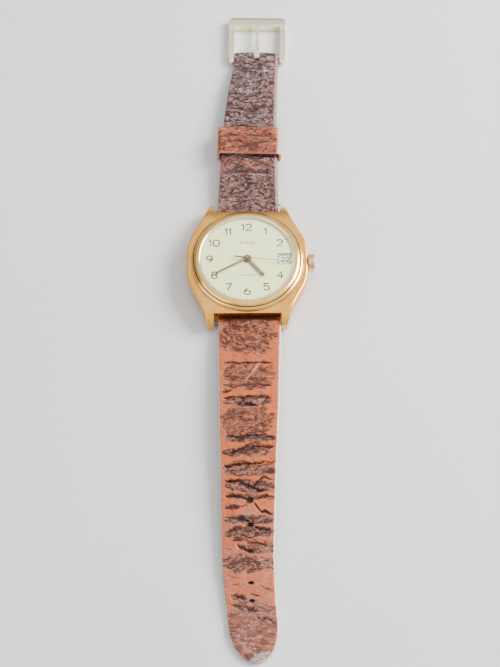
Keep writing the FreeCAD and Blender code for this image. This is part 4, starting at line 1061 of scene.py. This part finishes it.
def make_date_numbers():
    """1 to 31 round the date ring, with 22 in the window at rest."""
    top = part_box("date_ring")[1].z / MM
    radius = 10.7
    wide, tall, stroke = 0.86, 1.42, 0.22
    numbers = Solid()
    for day in range(1, 32):
        turn = math.radians((day - 22) * 360 / 31)
        number(numbers, str(day), radius, 0, wide, tall, stroke, top - 0.005, top + 0.015, turn)
    piece = numbers.build("date_numbers")
    black = plain("date_ink", (0.03, 0.03, 0.03), (0.06, 0.06, 0.06), 0.45, 3000, 0.004)
    piece.data.materials.append(black)
    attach(piece, "date")


def make_hand_facets():
    """The raised ridge along each hand, lying on its flat blade, in a much paler metal than the hand: a painted
    highlight along the ridge.
    """
    # Painted highlight: the ridge's metal is paler than the hands' own.
    facet_highlight = metal("hand_facet", (0.62, 0.50, 0.42), (0.72, 0.60, 0.50), 0.2)
    for body, turn, start, end, half, tip in (
        ("hour", 140.1, 1.3, 5.9, 0.2, 0.2),
        ("minute", 241.6, 1.1, 6.2, 0.16, 0.05),
    ):
        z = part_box(body + "_hand")[1].z / MM
        rings = []
        for at, side in ((start, half), (end, tip)):
            rings.append([(-side, at, z - 0.01), (0, at, z + 0.045), (side, at, z - 0.01)])
        solid = Solid()
        solid.loft(rings)
        piece = solid.build(body + "_hand_facet")
        piece.data.transform(Matrix.Rotation(-math.radians(turn), 4, "Z"))
        piece.data.materials.append(facet_highlight)
        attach(piece, body)


# ---- materials of the CAD pieces ----
def dress_frame():
    """Gives the CAD pieces their materials, by name or else by slot."""
    plastic = plain("plastic", (0.62, 0.60, 0.55), (0.70, 0.68, 0.62), 0.45)
    looks = {
        "case_gold": metal("case_gold", (0.94, 0.42, 0.07), (0.97, 0.51, 0.12), 0.27, (9, 0.6, 1), 0.07, 0.006),
        "pale_gold": metal("buckle_gold", (0.98, 0.86, 0.58), (1.0, 0.92, 0.70), 0.3, (0.5, 9, 1), 0.08, 0.006),
        "hand_gold": metal("hand_gold", (0.24, 0.17, 0.10), (0.32, 0.23, 0.15), 0.33, (1, 4, 1), 0.06, 0.002),
        "steel": metal("steel", (0.55, 0.56, 0.58), (0.63, 0.64, 0.66), 0.3, (6, 0.8, 1)),
        "rhodium": metal("rhodium", (0.66, 0.66, 0.67), (0.76, 0.76, 0.77), 0.24, (0.7, 7, 1)),
        "gilt_brass": metal("gilt_brass", (0.72, 0.52, 0.22), (0.80, 0.61, 0.30), 0.28, (2, 2, 1)),
        "blue_steel": metal("blue_steel", (0.05, 0.09, 0.28), (0.08, 0.14, 0.38), 0.22),
        "ruby": plain("ruby", (0.48, 0.02, 0.06), (0.60, 0.04, 0.10), 0.08, 1500, 0.001),
        "gasket_rubber": plain("gasket_rubber", (0.025, 0.025, 0.026), (0.045, 0.045, 0.046), 0.6),
        "dial_cream": plain("dial_cream", (0.92, 1.0, 0.53), (0.95, 1.0, 0.58), 0.5, 500, 0.002),
        "date_white": plain("date_white", (0.80, 0.80, 0.77), (0.86, 0.86, 0.83), 0.5, 700, 0.002),
        "acrylic": clear("acrylic"),
        "plastic": plastic,
    }
    special = {
        "bezel": bezel_gold(),
        "crown": metal("crown_gold", (0.86, 0.66, 0.42), (0.93, 0.75, 0.52), 0.25, (0.4, 4, 4), 0.07, 0.004),
        "crystal_gasket": plastic,
    }
    # The lug spring bars and their tips get a near-black steel, far darker than the other steel.
    near_black_steel = metal("near_black_steel", (0.10, 0.09, 0.08), (0.20, 0.18, 0.16), 0.45)
    special.update({node: near_black_steel for node in nodes if node.startswith(("lug_spring_bar", "bar_tip"))})
    for entry in frame["record"]["subparts"]:
        look = special.get(entry["node"]) or looks.get(entry["material_slot"])
        if look is not None:
            repaint(nodes[entry["node"]], look)


def repaint(thing, look):
    """Puts one material on all of an object."""
    if not thing.material_slots:
        thing.data.materials.append(look)
    for place in thing.material_slots:
        place.material = look


make_camera()
make_stage()
make_straps()
make_keeper()
make_dial_print()
make_date_numbers()
make_hand_facets()
dress_frame()
